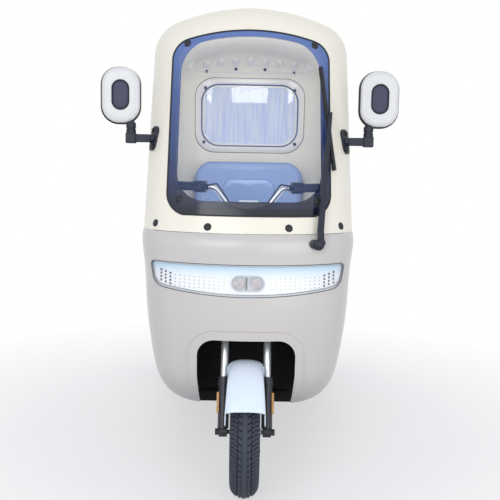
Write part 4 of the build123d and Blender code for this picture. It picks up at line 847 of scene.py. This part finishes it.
# Two lugs that tie the hood to the fork legs: place across, ahead of the fork's line and up along it
RAKE = radians(25)
LUG_X, LUG_AHEAD, LUG_UP = 60.0, 35.0, 205.0
LUG_ROWS = [(13, 9, 3, -3.2), (13, 9, 3, 3.2)]
lug_y = AXLE_Y - LUG_AHEAD * cos(RAKE) + LUG_UP * sin(RAKE)
lug_z = TYRE_R + LUG_AHEAD * sin(RAKE) + LUG_UP * cos(RAKE)
lug_turn = Matrix.Rotation(-RAKE, 4, "X") @ Matrix.Rotation(pi / 2, 4, "Y")
lug_forms = []
for side in (-1, 1):
    place = Matrix.Translation((side * LUG_X, lug_y, lug_z)) @ lug_turn
    lug_forms.append(banked(blocky(LUG_ROWS), place, cap_start=True))
fender_forms = joined([(fender_points, fender_faces)] + lug_forms)
mesh_piece("fender_hood", *fender_forms, "steering", white_gloss, replaces=("front_fender",), slot="fender_plastic")

# Rubber edge trim round the door openings and the seam under the canopy
wall_side = side_surface("windshield_frame", "roof", "rear_wall", "rear_body", "front_shell")
DOOR = [(-450.0, 100.0), (-430.0, 891.0), (-222.0, 1500.0), (500.0, 1500.0), (560.0, 760.0), (560.0, 100.0)]
DOOR_CORNER = 45.0
TRIM_R = 5.0
TRIM_FOOT_Z = 320
# The wall is met this far outside the opening, and the trim sinks into it by this much
TRIM_OUT = 7
TRIM_SUNK = 2.5
WALL_MIN_X = 250
SEAM_Z = 891.0
SEAM_XS = range(-336, 337, 14)
door_edge = rounded_outline([(y, z, DOOR_CORNER if z > 800 else 30.0) for y, z in DOOR], 10)
door_mid = Vector((50.0, 900.0))
trims = []
for side in (-1, 1):
    route = []
    for y, z in even(door_edge, 24):
        if z < TRIM_FOOT_Z:
            continue
        out = (Vector((y, z)) - door_mid).normalized() * TRIM_OUT
        hit = wall_side(side, y + out.x, z + out.y)
        if hit and abs(hit.x) > WALL_MIN_X:
            route.append(Vector((hit.x - side * TRIM_SUNK, y, z)))
    # The outline starts low at the front, so the route runs up, over and down
    route.sort(key=lambda at: atan2(at.z - 200, at.y - 50), reverse=True)
    trims.append(tube(route, TRIM_R, 10))
mesh_piece("door_edge_trim", *joined(trims), "body", rubber, slot="rubber")
seam_route = [front_at(x, SEAM_Z) or front_at(x, SEAM_Z + 3) for x in SEAM_XS]
seam_route = [Vector((x, at.y + 0.6, SEAM_Z)) for x, at in zip(SEAM_XS, seam_route)]
mesh_piece("belt_seam_strip", *tube(seam_route, 1.8, 8), "body", groove_grey, slot="rubber")

# Rubber flap between the arch liner's rear wall and the floor
FLAP_AT = (0, -502, 247)
FLAP_ROWS = [(178, 21, 6, -2.5), (180, 23, 7, 0.0), (178, 21, 6, 2.5)]
flap_place = Matrix.Translation(FLAP_AT) @ Matrix.Rotation(pi / 2, 4, "X")
mesh_piece("arch_flap", *banked(blocky(FLAP_ROWS), flap_place, cap_start=True), "body", liner_black, slot="rubber")

# Wiper boss: a knurled cap over the spindle's nut, and a smaller disc beside it
low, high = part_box("wiper_spindle")
boss_at = Vector(((low[0] + high[0]) / 2, low[1], (low[2] + high[2]) / 2)) / MM
BOSS = [(17, -14), (19, -12), (19, -3), (16.5, 0.5), (11, 2.5), (9, 4.0), (1, 4.4)]
DISC_FROM_BOSS = Vector((-16, 2, 2))
DISC = [(15, -16), (15, -6), (13, -4), (1, -3.4)]
face_front = Matrix.Rotation(pi / 2, 4, "X")
boss = turned(BOSS, Matrix.Translation(boss_at) @ face_front, 36)
disc = turned(DISC, Matrix.Translation(boss_at + DISC_FROM_BOSS) @ face_front, 28)
mesh_piece("wiper_boss", *boss, "wiper", trim_navy, slot="black_plastic")
mesh_piece("wiper_disc", *disc, "body", fork_black, slot="black_plastic")

# Rear hub caps, seated in the hub's recess
HUB_RECESS = 14.0
HUB_CAP = [(31, -1.0), (31, 3.0), (28, 5.0), (18, 6.5), (14, 11.0), (10, 12.5), (1, 13.0)]
for name in ("rear_left", "rear_right"):
    x, y = AXLES[name]
    side = -1 if x < 0 else 1
    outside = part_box("wheel_" + name)[0 if side < 0 else 1][0] / MM
    place = Matrix.Translation((outside, y, TYRE_R)) @ Matrix.Rotation(side * pi / 2, 4, "Y")
    cap = turned([(r, h - HUB_RECESS) for r, h in HUB_CAP], place, 32)
    mesh_piece(f"hub_cap_{name}", *cap, name + "_wheel", black_plastic, slot="black_plastic")

# Tyres with moulded tread
TREAD_STEPS = 720
GROOVE_DEPTH = 4.4
# Circumferential grooves: middle and half width
RIB_GROOVES = [(9.5, 2.0), (22.0, 2.0)]
SIDE_GROOVE_PITCH = 15.0
# Share of each pitch that is cut, on the middle ribs and on the side blocks
RIB_CUT = 0.16
SIDE_CUT = 0.27
RIB_LEAN = 0.75
ZIG = 5.0


def arc_points(start, middle, end, count):
    """Points along the arc through three (width, radius) points, with the end left out."""
    (ax, ay), (bx, by), (cx, cy) = start, middle, end
    d = 2 * (ax * (by - cy) + bx * (cy - ay) + cx * (ay - by))
    ux = ((ax**2 + ay**2) * (by - cy) + (bx**2 + by**2) * (cy - ay) + (cx**2 + cy**2) * (ay - by)) / d
    uy = ((ax**2 + ay**2) * (cx - bx) + (bx**2 + by**2) * (ax - cx) + (cx**2 + cy**2) * (bx - ax)) / d
    r = hypot(ax - ux, ay - uy)
    a0 = atan2(ay - uy, ax - ux)
    a1 = atan2(cy - uy, cx - ux)
    turn = (a1 - a0 + pi) % (2 * pi) - pi
    return [(ux + r * cos(a0 + turn * k / count), uy + r * sin(a0 + turn * k / count)) for k in range(count)]


bead_top = BEAD_R + FLANGE_RISE
shoulder = BEAD_R + 64
half = TYRE_HALF_W
section = [(BEAD_HALF_W - 4, BEAD_R + 0.5), (BEAD_HALF_W, bead_top)]
section += arc_points((BEAD_HALF_W, bead_top), (half, BEAD_R + 42), (half - 5, shoulder), 12)[1:]
section += arc_points((half - 5, shoulder), (0, TYRE_R), (5 - half, shoulder), 44)
section += arc_points((5 - half, shoulder), (-half, BEAD_R + 42), (-BEAD_HALF_W, bead_top), 12)
section += [(-BEAD_HALF_W, bead_top), (4 - BEAD_HALF_W, BEAD_R + 0.5)]


def groove(a, along):
    """Depth of the tread at a place across and along the tyre."""
    if abs(a) > half - 1.5:
        return 0.0
    for middle, wide in RIB_GROOVES:
        if abs(abs(a) - middle) < wide:
            return GROOVE_DEPTH
    if abs(a) < RIB_GROOVES[0][0]:
        return 0.0
    lean = RIB_LEAN if a > 0 else -RIB_LEAN
    if abs(a) < RIB_GROOVES[1][0]:
        return GROOVE_DEPTH if ((along + a * lean) / (SIDE_GROOVE_PITCH * 1.5)) % 1 < RIB_CUT else 0.0
    zig = ZIG * abs((((abs(a) - RIB_GROOVES[1][0]) / 13.0) % 1) - 0.5)
    return GROOVE_DEPTH if ((along + zig * 2 + abs(a) * 0.5) / SIDE_GROOVE_PITCH) % 1 < SIDE_CUT else 0.0


for name, (x, y) in AXLES.items():
    points, depths = [], []
    for i in range(TREAD_STEPS):
        a = 2 * pi * i / TREAD_STEPS
        for w, r in section:
            cut = groove(w, a * TYRE_R) if r > shoulder - 8 else 0.0
            depths.append(cut)
            points.append((x + w, y + (r - cut) * cos(a), TYRE_R + (r - cut) * sin(a)))
    body = "front_wheel" if name == "front" else name + "_wheel"
    faces = grid_faces(TREAD_STEPS, len(section), wrap_rows=True, wrap_columns=True)
    tyre = mesh_piece(f"tyre_tread_{name}", points, faces, body, tyre_rubber, replaces=(f"tyre_{name}",), slot="tyre")
    # Faces deep in the grooves take the darker rubber: painted shade in the grooves
    tyre.data.materials.append(groove_shade_rubber)
    for face in tyre.data.polygons:
        if sum(depths[i] for i in face.vertices) > 2.5 * GROOVE_DEPTH:
            face.material_index = 1

# Seats: swollen pads in place of the plain solids
PAD_SHRINK = 7.0
PAD_VOXEL = 8
PRESSURE = 4.0
CLOTH_FRAMES = 20
# A pad stays this far inside its node's box
BOX_GAP = 0.4
SEW_DEPTH = 5.0
SEW_WIDTH = 7
# The welt cord lies this far in from the box's edge, and is this thick
WELT_IN = 20
WELT_R = 3.0
# Angles of the rounded edge between a pad's side and its flat face
EDGE_TURNS = (0, 22, 45, 68, 90)


def pad_start(node, upright, corner_r, edge_r):
    """A slab with rounded corners and edges, a little smaller than the node's box, as an object."""
    low, high = (Vector(c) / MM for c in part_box(node))
    middle, half_size = (low + high) / 2, (high - low) / 2 - Vector((1, 1, 1)) * PAD_SHRINK
    # The face looks forward on a backrest and up on a cushion
    turn = Matrix.Rotation(pi / 2, 4, "X") if upright else Matrix.Identity(4)
    wide, tall, deep = (half_size.x, half_size.z, half_size.y) if upright else half_size
    rows = []
    for sign, turns in ((-1, EDGE_TURNS), (1, EDGE_TURNS[::-1])):
        for a in turns:
            inset, h = edge_r * (1 - sin(radians(a))), edge_r * (1 - cos(radians(a)))
            rows.append((oblong(wide - inset, tall - inset, max(corner_r - inset, 4), 10), sign * (deep - h)))
    points, faces = banked(rows, Matrix.Translation(middle) @ turn, cap_start=True)
    return mesh_object(node + "_pad", points, faces)


def settle(pad):
    """Applies the modifiers of an object to its mesh."""
    graph = bpy.context.evaluated_depsgraph_get()
    mesh = bpy.data.meshes.new_from_object(pad.evaluated_get(graph))
    pad.modifiers.clear()
    pad.data = mesh


def swell(pad, node, cap):
    """Blows the pad up as cloth, then holds each point near its start and inside the node's box."""
    remesh = pad.modifiers.new("remesh", "REMESH")
    remesh.mode = "VOXEL"
    remesh.voxel_size = PAD_VOXEL * MM
    settle(pad)
    start = [v.co.copy() for v in pad.data.vertices]
    cloth = pad.modifiers.new("cloth", "CLOTH")
    cloth.settings.quality = 5
    cloth.settings.use_pressure = True
    cloth.settings.uniform_pressure_force = PRESSURE
    cloth.settings.effector_weights.gravity = 0.0
    cloth.point_cache.frame_start = 1
    cloth.point_cache.frame_end = CLOTH_FRAMES
    for frame_number in range(1, CLOTH_FRAMES + 1):
        bpy.context.scene.frame_set(frame_number)
    settle(pad)
    bpy.context.scene.frame_set(1)
    low, high = (Vector(c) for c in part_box(node))
    for v, was in zip(pad.data.vertices, start):
        move = v.co - was
        if move.length > cap * MM:
            v.co = was + move.normalized() * cap * MM
        v.co = Vector(tuple(min(max(v.co[i], low[i] + BOX_GAP * MM), high[i] - BOX_GAP * MM) for i in range(3)))
    smooth = pad.modifiers.new("smooth", "SUBSURF")
    smooth.levels = 1
    settle(pad)
    pad.data.shade_smooth()


def sew(pad, node, upright, lines):
    """Presses sewn channels into the pad's face; lines are places across it as shares of its half width."""
    low, high = (Vector(c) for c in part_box(node))
    middle, half_w = (low.x + high.x) / 2, (high.x - low.x) / 2
    normals = [v.normal.copy() for v in pad.data.vertices]
    for v, normal in zip(pad.data.vertices, normals):
        facing = -normal.y if upright else normal.z
        across = [v.co.x - middle - line * half_w for line in lines]
        near = max([exp(-((x / (SEW_WIDTH * MM)) ** 2)) for x in across], default=0.0)
        v.co -= normal * max(0.0, facing) * near * SEW_DEPTH * MM


def piping(node, upright, corner_r, pad):
    """A welt cord along the edge of the pad's face, laid on the swollen surface."""
    low, high = (Vector(c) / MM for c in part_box(node))
    middle, half_size = (low + high) / 2, (high - low) / 2
    faces = [list(face.vertices) for face in pad.data.polygons]
    tree = BVHTree.FromPolygons([v.co.copy() for v in pad.data.vertices], faces)
    wide, tall = (half_size.x, half_size.z) if upright else (half_size.x, half_size.y)
    route = []
    for u, w in even(oblong(wide - WELT_IN, tall - WELT_IN, corner_r - 8, 10), 14):
        if upright:
            start, way = Vector((middle.x + u, low.y - 40, middle.z + w)), Vector((0, 1, 0))
        else:
            start, way = Vector((middle.x + u, middle.y + w, high.z + 40)), Vector((0, 0, -1))
        hit = tree.ray_cast(start * MM, way)[0]
        if hit:
            route.append(hit / MM - way * 0.6)
    return tube(route, WELT_R, 8, closed=True)


# Node, body, looks forward, corner radius, edge rounding, swelling cap, sewn channels
PADS = [
    ("driver_seat_cushion", "driver_seat", False, 40.0, 20.0, 11.0, (-0.36, 0.36)),
    ("driver_backrest", "driver_seat", True, 52.0, 18.0, 11.0, ()),
    ("rear_seat_cushion", "body", False, 44.0, 24.0, 12.0, (-0.5, 0.0, 0.5)),
    ("rear_backrest", "body", True, 98.0, 20.0, 12.0, ()),
]
for node, body, upright, corner_r, edge_r, cap, lines in PADS:
    pad = pad_start(node, upright, corner_r, edge_r)
    swell(pad, node, cap)
    sew(pad, node, upright, lines)
    pad.data.materials.clear()
    pad.data.materials.append(seat_vinyl)
    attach(pad, body)
    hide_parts(node)
    mesh_piece(node + "_piping", *piping(node, upright, corner_r, pad), body, piping_vinyl, slot="vinyl")

# Stage and light


def seen_white(tree):
    """One where a camera, a reflection or a look through glass meets the background."""
    path = add(tree, "ShaderNodeLightPath").outputs
    most = add(tree, "ShaderNodeMath", {0: path["Is Camera Ray"], 1: path["Is Glossy Ray"]}, operation="MAXIMUM")
    both = add(tree, "ShaderNodeMath", {0: most.outputs[0], 1: path["Is Transmission Ray"]}, operation="MAXIMUM")
    return both.outputs[0]


# Painted studio floor: pale matt paint that keeps the shadow near the wheels and fades to white further out
SHADOW_REACH = (0.9, 2.1)
floor_paint = {"Base Color": linear("#e2e2e2"), "Roughness": 0.9}
stage_finish, stage_tree, stage_shader = new_material("studio_floor", floor_paint)
floor_place = add(stage_tree, "ShaderNodeTexCoord").outputs["Object"]
floor_far = add(stage_tree, "ShaderNodeVectorMath", {0: floor_place}, operation="LENGTH")
floor_fade = add(
    stage_tree,
    "ShaderNodeMapRange",
    {"Value": floor_far.outputs["Value"], 1: SHADOW_REACH[0], 2: SHADOW_REACH[1], 3: 0.55, 4: 1.0},
)
floor_white = add(
    stage_tree, "ShaderNodeMath", {0: seen_white(stage_tree), 1: floor_fade.outputs["Result"]}, operation="MULTIPLY"
)
floor_glow = add(stage_tree, "ShaderNodeEmission", {"Color": linear("#ffffff"), "Strength": 1.0})
floor_mix = add(
    stage_tree,
    "ShaderNodeMixShader",
    {0: floor_white.outputs[0], 1: stage_shader.outputs["BSDF"], 2: floor_glow.outputs[0]},
)
for out in [n for n in stage_tree.nodes if n.type == "OUTPUT_MATERIAL"]:
    stage_tree.links.new(floor_mix.outputs[0], out.inputs["Surface"])
floor_mesh = bpy.data.meshes.new("studio_floor")
floor_mesh.from_pydata([(-30, -30, 0), (30, -30, 0), (30, 30, 0), (-30, 30, 0)], [], [(0, 1, 2, 3)])
floor_mesh.materials.append(stage_finish)
studio_floor = placed("studio_floor", floor_mesh)

world = bpy.data.worlds.new("studio")
world.use_nodes = True
world_tree = world.node_tree
world_tree.nodes.clear()
sky = add(world_tree, "ShaderNodeBackground", {"Color": linear("#eef3ff"), "Strength": 0.75})
white = add(world_tree, "ShaderNodeBackground", {"Color": linear("#ffffff"), "Strength": 1.0})
sky_mix = add(world_tree, "ShaderNodeMixShader", {0: seen_white(world_tree), 1: sky.outputs[0], 2: white.outputs[0]})
add(world_tree, "ShaderNodeOutputWorld", {"Surface": sky_mix.outputs[0]})
bpy.context.scene.world = world

# Soft lamps: name, place in mm, aim in mm, size in mm, watts
LAMPS = [
    ("key", (-1500, -4200, 2300), (0, -300, 1000), 2400, 51),
    ("fill", (1900, -3900, 1500), (0, 300, 1200), 2400, 35),
    ("cabin", (0, -60, 1530), (0, 950, 1250), 240, 2.6),
    ("back", (0, 3200, 3000), (0, 300, 1000), 2600, 40),
]
for name, at, aim, size, watts in LAMPS:
    lamp = bpy.data.lights.new(name, "AREA")
    lamp.size = size * MM
    lamp.energy = watts
    holder = placed(name, lamp)
    holder.visible_camera = False
    holder.location = Vector(at) * MM
    holder.rotation_euler = (Vector(aim) - Vector(at)).to_track_quat("-Z", "Y").to_euler()

bpy.context.scene.view_settings.view_transform = "Standard"
